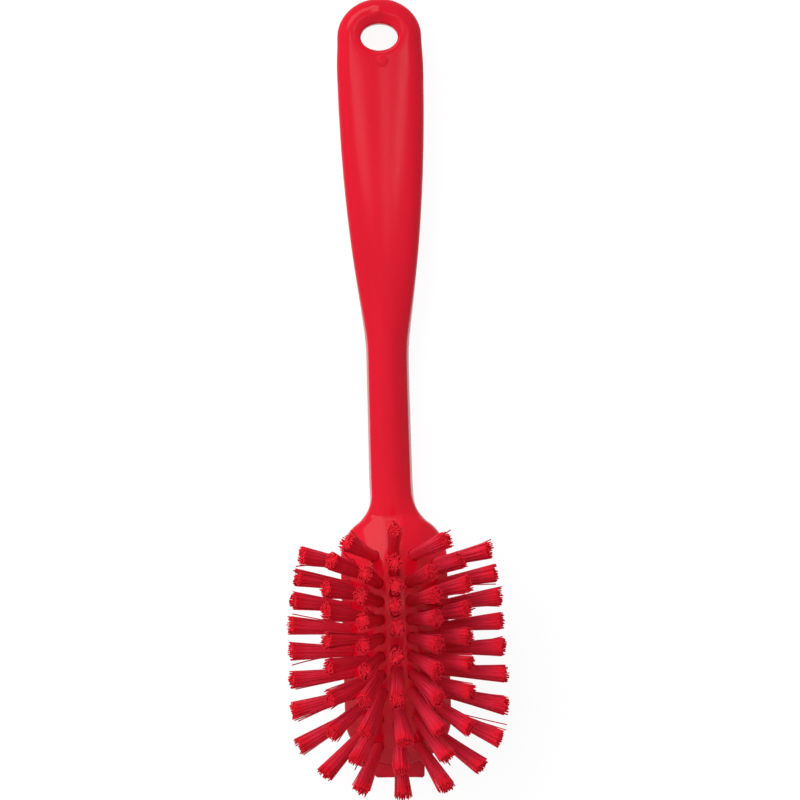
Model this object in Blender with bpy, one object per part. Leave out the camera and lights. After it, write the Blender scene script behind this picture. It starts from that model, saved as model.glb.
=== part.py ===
"""Dish-washing scrub brush: one moulded plastic body, drilled for tufts of filament. Metres, +Z up.

The brush lies on its back with the tufts up. Along the brush, places are given as a distance from the
handle end; +Y points to the handle end and +X to the right of somebody who looks down on the tufts.
"""

import math
from dataclasses import dataclass

import bmesh
import bpy
from mathutils import Matrix, Vector
from mathutils.bvhtree import BVHTree

MM = 0.001

# General fits
FIT_GAP = 0.3 * MM

# Handle, measured from the handle end
HANDLE_WIDTH = 29.2 * MM
HANDLE_END_WIDTH = 28.4 * MM
HANDLE_END_ARCH = 13.0 * MM
HANDLE_WIDEST_AT = 24.0 * MM
HANDLE_TAPER_LENGTH = 92.0 * MM
HANDLE_THICKNESS = 12.6 * MM
HANDLE_THINS_FROM = 60.0 * MM
HANDLE_TOP_ROUNDING = 5.5 * MM
HANDLE_BACK_ROUNDING = 4.0 * MM
HANDLE_CROWN = 0.6 * MM

# Neck, between the end of the handle's taper and the head
NECK_WIDTH = 13.7 * MM
NECK_WIDTH_AT_HEAD = 14.3 * MM
NECK_THICKNESS_AT_HEAD = 11.0 * MM
NECK_ROUNDING = 0.9 * MM
NECK_SIDE_DRAFT = 1.0 * MM
NECK_BLEND = 0.65 * MM
NECK_SHAPE_LEAD = 34.0 * MM
NECK_ARCH_RISE = 3.6 * MM
NECK_ARCH_FROM = 36.0 * MM
NECK_FLARE_LEAD = 7.0 * MM
NECK_FLARE_LENGTH = 9.6 * MM
NECK_FLARE_EACH_SIDE = 3.95 * MM
NECK_REACH_INTO_HEAD = 12.0 * MM
NECK_SINK = 0.3 * MM

# Hanging hole, the soft dish round it and the gate mark under it
HOLE_WIDTH = 12.5 * MM
HOLE_LENGTH = 9.2 * MM
HOLE_AT = 12.7 * MM
HOLE_SIDES = 28
DISH_AHEAD_OF_HOLE = 1.7 * MM
DISH_MARGIN_ASIDE = 3.35 * MM
DISH_MARGIN_ALONG = 3.4 * MM
DISH_DEPTH = 3.2 * MM
DISH_STARTS_UP_SIDE = 0.6
GATE_MARK_BELOW_HOLE = 3.7 * MM
GATE_MARK_ASIDE = 0.8 * MM
GATE_MARK_WIDTH = 4.0 * MM
GATE_MARK_DEPTH = 0.25 * MM
GATE_MARK_SIDES = 20

# Head block: a flat strip along the crown with three sloping facets on each side of it
HEAD_STARTS_AT = 174.0 * MM
HEAD_LENGTH = 85.8 * MM
HEAD_SHOULDER = 16.0 * MM
HEAD_SHOULDER_POWER = 2.3
HEAD_TIP_ROUNDNESS = 0.93
HEAD_TIP_HEIGHT = 4.7 * MM
HEAD_BACK_CHAMFER = 0.8 * MM
HEAD_RIM_SOFTENING = 0.6 * MM
CROWN_STRIP_WIDTH = 6.4 * MM
CROWN_HEIGHT = 21.0 * MM
CROWN_BEHIND_HEAD_START = 40.0 * MM
CROWN_DROP_TO_NECK = 10.5 * MM
CROWN_DROP_TO_TIP = 17.0 * MM
CROWN_POWER = 2.2
INNER_FACET_WIDTH = 4.8 * MM
MIDDLE_FACET_WIDTH = 5.0 * MM
OUTER_FACET_WIDTH = 5.0 * MM
INNER_FACET_SLOPE = 15.5
MIDDLE_FACET_SLOPE = 31.0
OUTER_FACET_SLOPE = 50.0
OUTER_EDGE_NECK_INSET = 2.2 * MM
MIDDLE_EDGE_NECK_INSET = 5.5 * MM
STRIP_NECK_INSET = 8.0 * MM
OUTER_EDGE_TIP_INSET = 11.0 * MM
MIDDLE_EDGE_TIP_INSET = 18.8 * MM
STRIP_TIP_INSET = 27.3 * MM

# Scraping edge at the tip of the head
SCRAPER_WIDTH = 17.2 * MM
SCRAPER_LENGTH = 4.1 * MM
SCRAPER_REACH_INTO_HEAD = 10.8 * MM
SCRAPER_BACK_LIFT = 0.35 * MM
SCRAPER_ROOT_THICKNESS = 2.2 * MM
SCRAPER_EDGE_THICKNESS = 0.9 * MM
SCRAPER_CORNER = 1.0 * MM

# Tufts
TUFT_VISIBLE_LENGTH = 26.0 * MM
TUFT_HOLE_RADIUS = 1.95 * MM
TUFT_HOLE_DEPTH = 4.2 * MM
TUFT_HOLE_SIDES = 10
TUFT_PROUD = 0.35 * MM
TUFT_SPLAY = 1.95
STRANDS_A_TUFT = 6
STRAND_INSET = 0.28 * MM
STRAND_LENGTH_PLAY = 0.8 * MM
STRAND_PLAY_STEP = 2.4
OUTER_RING_STARTS = 16.5 * MM
OUTER_RING_DRAWN_IN = 0.5 * MM
MIDDLE_RING_STARTS = 13.6 * MM
MIDDLE_RING_DRAWN_IN = 3.5 * MM
INNER_RING_STARTS = 22.6 * MM
RING_DRAWN_IN_OVER = 7.0 * MM
OUTER_TIPS_DRAWN_IN_OVER = 30.0 * MM
OUTER_TIPS_TURN_SHIFT = 1.6 * MM
MIDDLE_TIPS_DRAWN_IN_OVER = 13.0 * MM
MIDDLE_TIPS_TURN_SHIFT = 7.3 * MM
INNER_TIPS_DRAWN_IN_OVER = 8.0 * MM
INNER_TIPS_TURN_SHIFT = 13.6 * MM

# Centre row, fused to a narrow slice of its backing
ROW_COUNT = 7
ROW_BEHIND_HEAD_START = 12.4 * MM
ROW_CLEAR_OF_STRIP_END = 6.5 * MM
ROW_BAR_WIDTH = 3.8 * MM
ROW_BAR_THICKNESS = 2.0 * MM
ROW_BAR_OVERRUN = 2.6 * MM
ROW_FAN_LEAN = 18.9
ROW_NECK_LEAN = 7.0

# Colour and finish
BODY_COLOUR = (0.72, 0.012, 0.028)
BODY_ROUGHNESS = 0.38
BODY_SMOOTH_ANGLE = 34.0
FILAMENT_COLOUR = (0.60, 0.008, 0.022)
FILAMENT_ROUGHNESS = 0.5
FILAMENT_SMOOTH_ANGLE = 50.0

# Mesh steps
NECK_STEPS = 8
SIDE_STEPS = 8
TIP_STEPS = 8
ARCH_STEPS = 11
HANDLE_END_STEPS = 4
GRIP_STEPS = 11
GRIP_TO_NECK_STEPS = 8
NECK_RUN_STEPS = 5
FLARE_STEPS = 6
SUNK_STEPS = 2
FRONT_ROUND_STEPS = 4
BACK_ROUND_STEPS = 3
FRONT_STEPS = 8
BACK_STEPS = 2
CORNER_STEPS = 3
BAR_STEPS = 12
PATH_STEPS = 400
MERGE_WITHIN = 0.004 * MM
SLIVER_BELOW = 0.002 * MM

HEAD_TIP_AT = HEAD_STARTS_AT + HEAD_LENGTH
CROWN_AT = HEAD_STARTS_AT + CROWN_BEHIND_HEAD_START
TAPER_END_AT = HANDLE_WIDEST_AT + HANDLE_TAPER_LENGTH
FLARE_STARTS_AT = HEAD_STARTS_AT - NECK_FLARE_LEAD
FLARE_ENDS_AT = FLARE_STARTS_AT + NECK_FLARE_LENGTH


def crown_height(along):
    """Height of the crown line, which falls away to the neck and to the tip."""
    if along < CROWN_AT:
        share = (CROWN_AT - along) / (CROWN_AT - HEAD_STARTS_AT)
        return CROWN_HEIGHT - CROWN_DROP_TO_NECK * share ** CROWN_POWER
    share = (along - CROWN_AT) / (HEAD_TIP_AT - CROWN_AT)
    return CROWN_HEIGHT - CROWN_DROP_TO_TIP * share ** CROWN_POWER


def facet_drop(width, slope):
    return width * math.tan(math.radians(slope))


class HeadLine:
    """A closed line round the head, in plan and in height."""

    def __init__(self, half_width, neck_inset, tip_inset, drop):
        self.half_width = half_width
        self.neck_end = HEAD_STARTS_AT + neck_inset
        self.neck_turn = HEAD_STARTS_AT + HEAD_SHOULDER
        self.tip_end = HEAD_TIP_AT - tip_inset
        self.tip_turn = self.tip_end - half_width * HEAD_TIP_ROUNDNESS
        self.middle_height = CROWN_HEIGHT - drop
        self.neck_height = crown_height(self.neck_end)
        self.tip_height = crown_height(self.tip_end)

    def height(self, along):
        if along < CROWN_AT:
            share = (CROWN_AT - along) / (CROWN_AT - self.neck_end)
            drop = self.middle_height - self.neck_height
        else:
            share = (along - CROWN_AT) / (self.tip_end - CROWN_AT)
            drop = self.middle_height - self.tip_height
        return self.middle_height - drop * share ** CROWN_POWER

    def half_points(self, inset=0.0):
        """Points from the neck end to the tip end on the +X side, as (across, along)."""
        points = []
        half = self.half_width - inset
        neck_length = self.neck_turn - self.neck_end - inset
        tip_length = self.tip_end - self.tip_turn - inset
        for step in range(NECK_STEPS):
            angle = math.pi / 2 * step / NECK_STEPS
            across = half * math.sin(angle) ** (2 / HEAD_SHOULDER_POWER)
            along = self.neck_turn - neck_length * math.cos(angle) ** (2 / HEAD_SHOULDER_POWER)
            points.append((across, along))
        for step in range(SIDE_STEPS):
            along = self.neck_turn + (self.tip_turn - self.neck_turn) * step / SIDE_STEPS
            points.append((half, along))
        for step in range(TIP_STEPS):
            angle = math.pi / 2 * step / TIP_STEPS
            points.append((half * math.cos(angle), self.tip_turn + tip_length * math.sin(angle)))
        points.append((0.0, self.tip_turn + tip_length))
        return points


STRIP_HALF = CROWN_STRIP_WIDTH / 2
MIDDLE_EDGE_HALF = STRIP_HALF + INNER_FACET_WIDTH
OUTER_EDGE_HALF = MIDDLE_EDGE_HALF + MIDDLE_FACET_WIDTH
RIM_HALF = OUTER_EDGE_HALF + OUTER_FACET_WIDTH
MIDDLE_EDGE_DROP = facet_drop(INNER_FACET_WIDTH, INNER_FACET_SLOPE)
OUTER_EDGE_DROP = MIDDLE_EDGE_DROP + facet_drop(MIDDLE_FACET_WIDTH, MIDDLE_FACET_SLOPE)
RIM_DROP = OUTER_EDGE_DROP + facet_drop(OUTER_FACET_WIDTH, OUTER_FACET_SLOPE)

STRIP_EDGE = HeadLine(STRIP_HALF, STRIP_NECK_INSET, STRIP_TIP_INSET, 0.0)
MIDDLE_EDGE = HeadLine(MIDDLE_EDGE_HALF, MIDDLE_EDGE_NECK_INSET, MIDDLE_EDGE_TIP_INSET, MIDDLE_EDGE_DROP)
OUTER_EDGE = HeadLine(OUTER_EDGE_HALF, OUTER_EDGE_NECK_INSET, OUTER_EDGE_TIP_INSET, OUTER_EDGE_DROP)
RIM = HeadLine(RIM_HALF, 0.0, 0.0, RIM_DROP)
RIM.neck_height = RIM.middle_height
RIM.tip_height = HEAD_TIP_HEIGHT

ROW_STARTS_AT = HEAD_STARTS_AT + ROW_BEHIND_HEAD_START
ROW_PITCH = (STRIP_EDGE.tip_end - ROW_CLEAR_OF_STRIP_END - ROW_STARTS_AT) / (ROW_COUNT - 1)


@dataclass
class Ring:
    """A U-shaped line of tufts along the middle of one facet, which fans out to a wider line of tips.

    Leans are in degrees. Fanning is the share of the tips' spacing that grows towards the end of the U.
    """

    name: str
    each_side: int
    inner_edge: HeadLine
    outer_edge: HeadLine
    behind_head_start: float
    first_drawn_in: float
    first_side_lean: float
    side_lean: float
    neck_lean: float
    tip_lean: float
    tips_drawn_in_over: float
    tips_turn_shift: float
    fanning: float
    fanning_power: float


OUTER_RING = Ring(
    name="outer",
    each_side=10,
    inner_edge=OUTER_EDGE,
    outer_edge=RIM,
    behind_head_start=OUTER_RING_STARTS,
    first_drawn_in=OUTER_RING_DRAWN_IN,
    first_side_lean=39.9,
    side_lean=OUTER_FACET_SLOPE + 1.6,
    neck_lean=8.0,
    tip_lean=30.8,
    tips_drawn_in_over=OUTER_TIPS_DRAWN_IN_OVER,
    tips_turn_shift=OUTER_TIPS_TURN_SHIFT,
    fanning=0.31,
    fanning_power=2.4,
)
MIDDLE_RING = Ring(
    name="middle",
    each_side=9,
    inner_edge=MIDDLE_EDGE,
    outer_edge=OUTER_EDGE,
    behind_head_start=MIDDLE_RING_STARTS,
    first_drawn_in=MIDDLE_RING_DRAWN_IN,
    first_side_lean=22.2,
    side_lean=MIDDLE_FACET_SLOPE,
    neck_lean=10.6,
    tip_lean=31.8,
    tips_drawn_in_over=MIDDLE_TIPS_DRAWN_IN_OVER,
    tips_turn_shift=MIDDLE_TIPS_TURN_SHIFT,
    fanning=0.21,
    fanning_power=4.0,
)
INNER_RING = Ring(
    name="inner",
    each_side=7,
    inner_edge=STRIP_EDGE,
    outer_edge=MIDDLE_EDGE,
    behind_head_start=INNER_RING_STARTS,
    first_drawn_in=0.0,
    first_side_lean=12.0,
    side_lean=INNER_FACET_SLOPE,
    neck_lean=9.2,
    tip_lean=27.6,
    tips_drawn_in_over=INNER_TIPS_DRAWN_IN_OVER,
    tips_turn_shift=INNER_TIPS_TURN_SHIFT,
    fanning=0.17,
    fanning_power=4.0,
)


def clear_scene():
    for item in list(bpy.data.objects):
        bpy.data.objects.remove(item, do_unlink=True)


def smooth(value):
    value = min(max(value, 0.0), 1.0)
    return value * value * (3.0 - 2.0 * value)


def soft_max(first, second, blend):
    """The larger of two sizes, with a soft blend where they meet."""
    gap = (first - second) / blend
    return second + blend * (gap / 2 + math.sqrt(gap * gap / 4 + 0.25))


def stem_half_width(along):
    """Half the width of the handle and neck at a distance from the handle end."""
    share = max(0.0, (along - TAPER_END_AT) / (FLARE_STARTS_AT - TAPER_END_AT))
    neck = (NECK_WIDTH + (NECK_WIDTH_AT_HEAD - NECK_WIDTH) * share) / 2
    share = max(0.0, along - HANDLE_WIDEST_AT) / HANDLE_TAPER_LENGTH
    handle = HANDLE_WIDTH / 2 - (HANDLE_WIDTH - NECK_WIDTH) / 2 * share ** 2
    grown = smooth((along - HANDLE_END_ARCH) / (HANDLE_WIDEST_AT - HANDLE_END_ARCH))
    handle -= (HANDLE_WIDTH - HANDLE_END_WIDTH) / 2 * (1.0 - grown)
    return soft_max(handle, neck, NECK_BLEND) + NECK_FLARE_EACH_SIDE * flare(along) ** 3


def flare(along):
    """0 on the neck, 1 where it has widened into the shoulders of the head."""
    return min(1.0, max(0.0, (along - FLARE_STARTS_AT) / NECK_FLARE_LENGTH))


def stem_back(along):
    """Height of the underside: flat under the handle end, arched up over the neck."""
    share = (along - NECK_ARCH_FROM) / (FLARE_ENDS_AT - NECK_ARCH_FROM)
    share = min(1.0, max(0.0, share))
    arch = NECK_ARCH_RISE * math.sin(math.pi * share) ** 2
    return arch + (HEAD_BACK_CHAMFER + NECK_SINK) * smooth(2.0 * share - 1.0)


def stem_top(along):
    """Height of the front: it thins to the neck, then sinks just under the head's shoulders."""
    share = smooth((along - HANDLE_THINS_FROM) / (FLARE_STARTS_AT - HANDLE_THINS_FROM))
    top = HANDLE_THICKNESS + (NECK_THICKNESS_AT_HEAD - HANDLE_THICKNESS) * share
    return top + (RIM.middle_height - NECK_SINK - NECK_THICKNESS_AT_HEAD) * flare(along) ** 2


def neck_share(along):
    """0 on the rounded handle, 1 on the flat-fronted neck."""
    return smooth((along - TAPER_END_AT) / NECK_SHAPE_LEAD + 1.0)


def blend_sizes(handle_size, neck_size, share):
    return handle_size + (neck_size - handle_size) * share


def dish(across, along):
    """How far the front sinks in round the hanging hole."""
    half_width = HOLE_WIDTH / 2 + DISH_MARGIN_ASIDE
    half_length = HOLE_LENGTH / 2 + DISH_MARGIN_ALONG
    reach = math.hypot(across / half_width, (along - HOLE_AT + DISH_AHEAD_OF_HOLE) / half_length)
    return DISH_DEPTH * smooth(1.0 - reach)


def evenly(first, last, steps):
    """Evenly spaced values after first, up to and including last."""
    return [first + (last - first) * (step + 1) / steps for step in range(steps)]


def stem_stations():
    """Outline points on the +X side with their inward directions, from the handle end to the head."""
    stations = []
    half = stem_half_width(HANDLE_END_ARCH)
    for step in range(ARCH_STEPS + 1):
        angle = math.pi / 2 * step / ARCH_STEPS
        across = half * math.sin(angle)
        along = HANDLE_END_ARCH * (1.0 - math.cos(angle))
        inward = Vector((-HANDLE_END_ARCH * math.sin(angle), half * math.cos(angle))).normalized()
        stations.append((across, along, inward))
    blend_from = TAPER_END_AT - NECK_SHAPE_LEAD / 2
    blend_to = TAPER_END_AT + NECK_SHAPE_LEAD / 4
    distances = evenly(HANDLE_END_ARCH, HANDLE_WIDEST_AT, HANDLE_END_STEPS)
    distances += evenly(HANDLE_WIDEST_AT, blend_from, GRIP_STEPS)
    distances += evenly(blend_from, blend_to, GRIP_TO_NECK_STEPS)
    distances += evenly(blend_to, FLARE_STARTS_AT, NECK_RUN_STEPS)
    distances += evenly(FLARE_STARTS_AT, FLARE_ENDS_AT, FLARE_STEPS)
    distances += evenly(FLARE_ENDS_AT, HEAD_STARTS_AT + NECK_REACH_INTO_HEAD, SUNK_STEPS)
    for along in distances:
        stations.append((stem_half_width(along), along, Vector((-1.0, 0.0))))
    return stations


def section_levels(along):
    """(inset from the outline, height) from the back edge of the side up to the front edge."""
    share = neck_share(along)
    top_round = blend_sizes(HANDLE_TOP_ROUNDING, NECK_ROUNDING, share)
    back_round = blend_sizes(HANDLE_BACK_ROUNDING, NECK_ROUNDING, share)
    draft = NECK_SIDE_DRAFT * share
    back = stem_back(along)
    top = stem_top(along)
    levels = []
    for step in range(BACK_ROUND_STEPS + 1):
        angle = math.pi / 2 * step / BACK_ROUND_STEPS
        inset = back_round * (1.0 - math.sin(angle))
        levels.append((inset, back + back_round * (1.0 - math.cos(angle))))
    for step in range(FRONT_ROUND_STEPS + 1):
        angle = math.pi / 2 * step / FRONT_ROUND_STEPS
        inset = draft + top_round * (1.0 - math.cos(angle))
        levels.append((inset, top - top_round + top_round * math.sin(angle)))
    return levels


def side_columns(mesh, stations):
    """Vertices up each side of the stem, keyed by station and side."""
    columns = {}
    for index, (across, along, inward) in enumerate(stations):
        for side in (1, -1):
            if index == 0 and side == -1:
                columns[(index, side)] = columns[(0, 1)]
                continue
            column = []
            for inset, height in section_levels(along):
                x = across + inward.x * inset
                place = along + inward.y * inset
                if height > stem_top(along) * DISH_STARTS_UP_SIDE:
                    height -= dish(x, place)
                column.append(mesh.verts.new((side * x, -place, height)))
            columns[(index, side)] = column
    return columns


def skin_sides(mesh, columns, last):
    """Faces between the side columns of neighbouring stations."""
    for index in range(last):
        for level in range(len(columns[(0, 1)]) - 1):
            a = columns[(index, 1)]
            b = columns[(index + 1, 1)]
            mesh.faces.new((a[level], b[level], b[level + 1], a[level + 1]))
            a = columns[(index, -1)]
            b = columns[(index + 1, -1)]
            mesh.faces.new((b[level], a[level], a[level + 1], b[level + 1]))


def front_height(across_share, across, along):
    """Height of the front, with its slight crown and the dish round the hole."""
    crown = HANDLE_CROWN * (1.0 - neck_share(along)) * (1.0 - across_share * across_share)
    return stem_top(along) + crown - dish(across, along)


def rows_across(mesh, columns, last, is_front):
    """Rows of vertices across the front or the back, from the right column to the left one."""
    level = -1 if is_front else 0
    steps = FRONT_STEPS if is_front else BACK_STEPS
    rows = [[columns[(0, 1)][level]]]
    for index in range(1, last + 1):
        right = columns[(index, 1)][level]
        along = -right.co.y
        row = [right]
        for step in range(1, steps):
            share = 1.0 - 2.0 * step / steps
            x = right.co.x * share
            z = front_height(share, x, along) if is_front else stem_back(along)
            row.append(mesh.verts.new((x, -along, z)))
        row.append(columns[(index, -1)][level])
        rows.append(row)
    return rows


def skin_rows(mesh, rows, is_front):
    """Faces between neighbouring rows, the first of which is a single vertex."""
    for a, b in zip(rows, rows[1:]):
        for step in range(len(b) - 1):
            if len(a) == 1:
                face = (a[0], b[step], b[step + 1])
            else:
                face = (a[step], b[step], b[step + 1], a[step + 1])
            mesh.faces.new(face if is_front else tuple(reversed(face)))


def build_stem():
    """Handle and neck as one closed body that ends inside the head."""
    mesh = bmesh.new()
    stations = stem_stations()
    last = len(stations) - 1
    columns = side_columns(mesh, stations)
    skin_sides(mesh, columns, last)
    front = rows_across(mesh, columns, last, True)
    skin_rows(mesh, front, True)
    back = rows_across(mesh, columns, last, False)
    skin_rows(mesh, back, False)
    rim = list(front[-1])
    rim += list(reversed(columns[(last, -1)]))[1:]
    rim += list(reversed(back[-1]))[1:]
    rim += columns[(last, 1)][1:-1]
    mesh.faces.new(rim)
    return finish_mesh(mesh, "stem")


def loop_ring(mesh, points, height_of):
    """Vertices right round a loop: the +X side out, the -X side back."""
    ring = []
    for across, along in points:
        ring.append(mesh.verts.new((across, -along, height_of(along))))
    for across, along in reversed(points[1:-1]):
        ring.append(mesh.verts.new((-across, -along, height_of(along))))
    return ring


def build_head():
    """Head block: upright sides and a faceted dome that falls away to the neck and to the tip."""
    mesh = bmesh.new()
    layout = [
        (RIM.half_points(HEAD_BACK_CHAMFER), lambda along: 0.0),
        (RIM.half_points(), lambda along: HEAD_BACK_CHAMFER),
        (RIM.half_points(), lambda along: RIM.height(along) - HEAD_RIM_SOFTENING),
        (RIM.half_points(HEAD_RIM_SOFTENING), RIM.height),
    ]
    for edge in (OUTER_EDGE, MIDDLE_EDGE, STRIP_EDGE):
        layout.append((edge.half_points(), edge.height))
    rings = [loop_ring(mesh, points, height) for points, height in layout]
    count = len(rings[0])
    for lower, upper in zip(rings, rings[1:]):
        for index in range(count):
            after = (index + 1) % count
            mesh.faces.new((lower[index], upper[index], upper[after], lower[after]))
    total = NECK_STEPS + SIDE_STEPS + TIP_STEPS
    for ring, faces_up in ((rings[0], False), (rings[-1], True)):
        for index in range(total):
            right = [ring[index], ring[index + 1]]
            left = [ring[(count - index - 1) % count], ring[(count - index) % count]]
            corners = []
            for vertex in right + left:
                if vertex not in corners:
                    corners.append(vertex)
            mesh.faces.new(corners if not faces_up else tuple(reversed(corners)))
    return finish_mesh(mesh, "head")


def build_scraper():
    """Thin straight-edged tongue for scraping, at the back of the tip."""
    mesh = bmesh.new()
    half = SCRAPER_WIDTH / 2
    edge_at = HEAD_TIP_AT + SCRAPER_LENGTH
    root_at = HEAD_TIP_AT - SCRAPER_REACH_INTO_HEAD
    right = []
    for step in range(CORNER_STEPS + 1):
        angle = math.pi / 2 * step / CORNER_STEPS
        across = half - SCRAPER_CORNER * (1.0 - math.cos(angle))
        right.append((across, edge_at - SCRAPER_CORNER * (1.0 - math.sin(angle))))
    left = [(-across, along) for across, along in reversed(right)]
    outline = [(-half, root_at), (half, root_at)] + right + left
    lower = []
    upper = []
    for across, along in outline:
        share = max(0.0, along - HEAD_TIP_AT) / SCRAPER_LENGTH
        thick = SCRAPER_ROOT_THICKNESS + (SCRAPER_EDGE_THICKNESS - SCRAPER_ROOT_THICKNESS) * share
        lower.append(mesh.verts.new((across, -along, SCRAPER_BACK_LIFT)))
        upper.append(mesh.verts.new((across, -along, SCRAPER_BACK_LIFT + thick)))
    mesh.faces.new(lower)
    mesh.faces.new(list(reversed(upper)))
    count = len(outline)
    for index in range(count):
        after = (index + 1) % count
        mesh.faces.new((lower[index], upper[index], upper[after], lower[after]))
    return finish_mesh(mesh, "scraper")


def prism(mesh, centre, direction, radius, below, above, sides, squash=1.0):
    """Closed prism round an axis; returns its lower and upper rings."""
    frame = direction.to_track_quat("Z", "Y").to_matrix()
    rings = []
    for reach in (-below, above):
        ring = []
        for index in range(sides):
            angle = 2 * math.pi * index / sides
            offset = frame @ Vector((radius * math.cos(angle), radius * squash * math.sin(angle), reach))
            ring.append(mesh.verts.new(centre + offset))
        rings.append(ring)
    lower, upper = rings
    for index in range(sides):
        after = (index + 1) % sides
        mesh.faces.new((lower[index], lower[after], upper[after], upper[index]))
    return lower, upper


def closed_prism(mesh, centre, direction, radius, below, above, sides, squash=1.0):
    lower, upper = prism(mesh, centre, direction, radius, below, above, sides, squash)
    mesh.faces.new(list(reversed(lower)))
    mesh.faces.new(upper)


def finish_mesh(mesh, name):
    bmesh.ops.recalc_face_normals(mesh, faces=mesh.faces)
    data = bpy.data.meshes.new(name)
    mesh.to_mesh(data)
    mesh.free()
    item = bpy.data.objects.new(name, data)
    bpy.context.collection.objects.link(item)
    return item


def combine(target, tool, operation):
    """Bakes one exact boolean into the target and removes the tool."""
    tool.hide_render = True
    tool.display_type = "WIRE"
    step = target.modifiers.new(operation.lower(), "BOOLEAN")
    step.operation = operation
    step.solver = "EXACT"
    step.object = tool
    graph = bpy.context.evaluated_depsgraph_get()
    made = bpy.data.meshes.new_from_object(target.evaluated_get(graph))
    target.modifiers.clear()
    target.data = made
    bpy.data.objects.remove(tool, do_unlink=True)


def half_u(first_half, half, drawn_in_over, first, turn, end):
    """Fine points along the +X half of a U, which is drawn in where it starts."""
    samples = []
    for step in range(PATH_STEPS + 1):
        along = first + (turn - first) * step / PATH_STEPS
        share = min(1.0, (along - first) / drawn_in_over)
        samples.append(Vector((first_half + (half - first_half) * math.sin(math.pi / 2 * share), along)))
    for step in range(1, PATH_STEPS + 1):
        angle = math.pi / 2 * step / PATH_STEPS
        samples.append(Vector((half * math.cos(angle), turn + (end - turn) * math.sin(angle))))
    return samples


def spaced(samples, count, fanning, power):
    """Places along a line of samples, with its far end as the last one."""
    lengths = [0.0]
    for before, after in zip(samples, samples[1:]):
        lengths.append(lengths[-1] + (after - before).length)
    points = []
    place = 0
    for index in range(count):
        share = index / count
        target = (share * (1.0 - fanning) + fanning * share ** power) * lengths[-1]
        while lengths[place + 1] < target:
            place += 1
        span = lengths[place + 1] - lengths[place]
        points.append(samples[place].lerp(samples[place + 1], (target - lengths[place]) / span))
    points.append(samples[-1])
    return points


def ring_roots(ring):
    """Plan places of a ring's tufts, along the middle of its facet."""
    half = (ring.inner_edge.half_width + ring.outer_edge.half_width) / 2
    turn = (ring.inner_edge.tip_turn + ring.outer_edge.tip_turn) / 2
    end = (ring.inner_edge.tip_end + ring.outer_edge.tip_end) / 2
    first = HEAD_STARTS_AT + ring.behind_head_start
    samples = half_u(half - ring.first_drawn_in, half, RING_DRAWN_IN_OVER, first, turn, end)
    return spaced(samples, ring.each_side, 0.0, 1.0)


def ring_tips(ring, roots):
    """Plan places that the tufts of a ring reach out to."""

    def reach(lean):
        return TUFT_VISIBLE_LENGTH * math.sin(math.radians(lean))

    first_half = roots[0].x + reach(ring.first_side_lean)
    half = (ring.inner_edge.half_width + ring.outer_edge.half_width) / 2 + reach(ring.side_lean)
    first = roots[0].y - reach(ring.neck_lean)
    turn = (ring.inner_edge.tip_turn + ring.outer_edge.tip_turn) / 2 + ring.tips_turn_shift
    end = roots[-1].y + reach(ring.tip_lean)
    samples = half_u(first_half, half, ring.tips_drawn_in_over, first, turn, end)
    return spaced(samples, ring.each_side, ring.fanning, ring.fanning_power)


def tuft_axis(root, tip, surface):
    """Root on the head's surface and unit direction, from plan places of root and tip."""
    above = Vector((root.x, -root.y, 2.0 * CROWN_HEIGHT))
    hit = surface.ray_cast(above, Vector((0.0, 0.0, -1.0)))[0]
    flat = Vector((tip.x - root.x, root.y - tip.y)) / TUFT_VISIBLE_LENGTH
    rise = math.sqrt(1.0 - flat.length_squared)
    return hit, Vector((flat.x, flat.y, rise))


def ring_tufts(ring, surface):
    """Name, root and direction of every tuft of a ring."""
    roots = ring_roots(ring)
    tips = ring_tips(ring, roots)
    found = []
    for index in range(ring.each_side):
        for side, sign in (("left", -1.0), ("right", 1.0)):
            mirror = Vector((sign, 1.0))
            axis = tuft_axis(roots[index] * mirror, tips[index] * mirror, surface)
            found.append((f"tuft_{ring.name}_{side}_{index + 1:02d}", *axis))
    found.append((f"tuft_{ring.name}_tip", *tuft_axis(roots[-1], tips[-1], surface)))
    return found


def row_tufts(surface):
    """Root and direction of the tufts of the centre row: its ends fan out, its middle leans to the neck."""
    found = []
    for index in range(ROW_COUNT):
        along = ROW_STARTS_AT + ROW_PITCH * index
        share = 2.0 * index / (ROW_COUNT - 1) - 1.0
        lean = ROW_FAN_LEAN * share ** 3 - ROW_NECK_LEAN * (1.0 - share ** 2)
        tip = Vector((0.0, along + TUFT_VISIBLE_LENGTH * math.sin(math.radians(lean))))
        found.append(tuft_axis(Vector((0.0, along)), tip, surface))
    return found


def add_strands(mesh, upper, centre, direction, length):
    """Six three-sided strands that rise, slightly splayed, from the top of a plug."""
    hub = mesh.verts.new(centre)
    phase = (centre.x + centre.y) / STRAND_LENGTH_PLAY
    for index in range(STRANDS_A_TUFT):
        after = (index + 1) % STRANDS_A_TUFT
        corners = [hub, upper[index], upper[after]]
        middle = sum((vertex.co for vertex in corners), Vector()) / 3
        reach = length + STRAND_LENGTH_PLAY * math.sin(STRAND_PLAY_STEP * index + phase)
        foot = []
        tip = []
        outward = middle - centre
        for vertex in corners:
            low = vertex.co + (middle - vertex.co).normalized() * STRAND_INSET
            foot.append(mesh.verts.new(low))
            tip.append(mesh.verts.new(low + direction * reach + outward * (TUFT_SPLAY - 1.0)))
        for edge in range(3):
            beyond = (edge + 1) % 3
            mesh.faces.new((corners[edge], corners[beyond], foot[beyond], foot[edge]))
            mesh.faces.new((foot[edge], foot[beyond], tip[beyond], tip[edge]))
        mesh.faces.new(tip)


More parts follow.
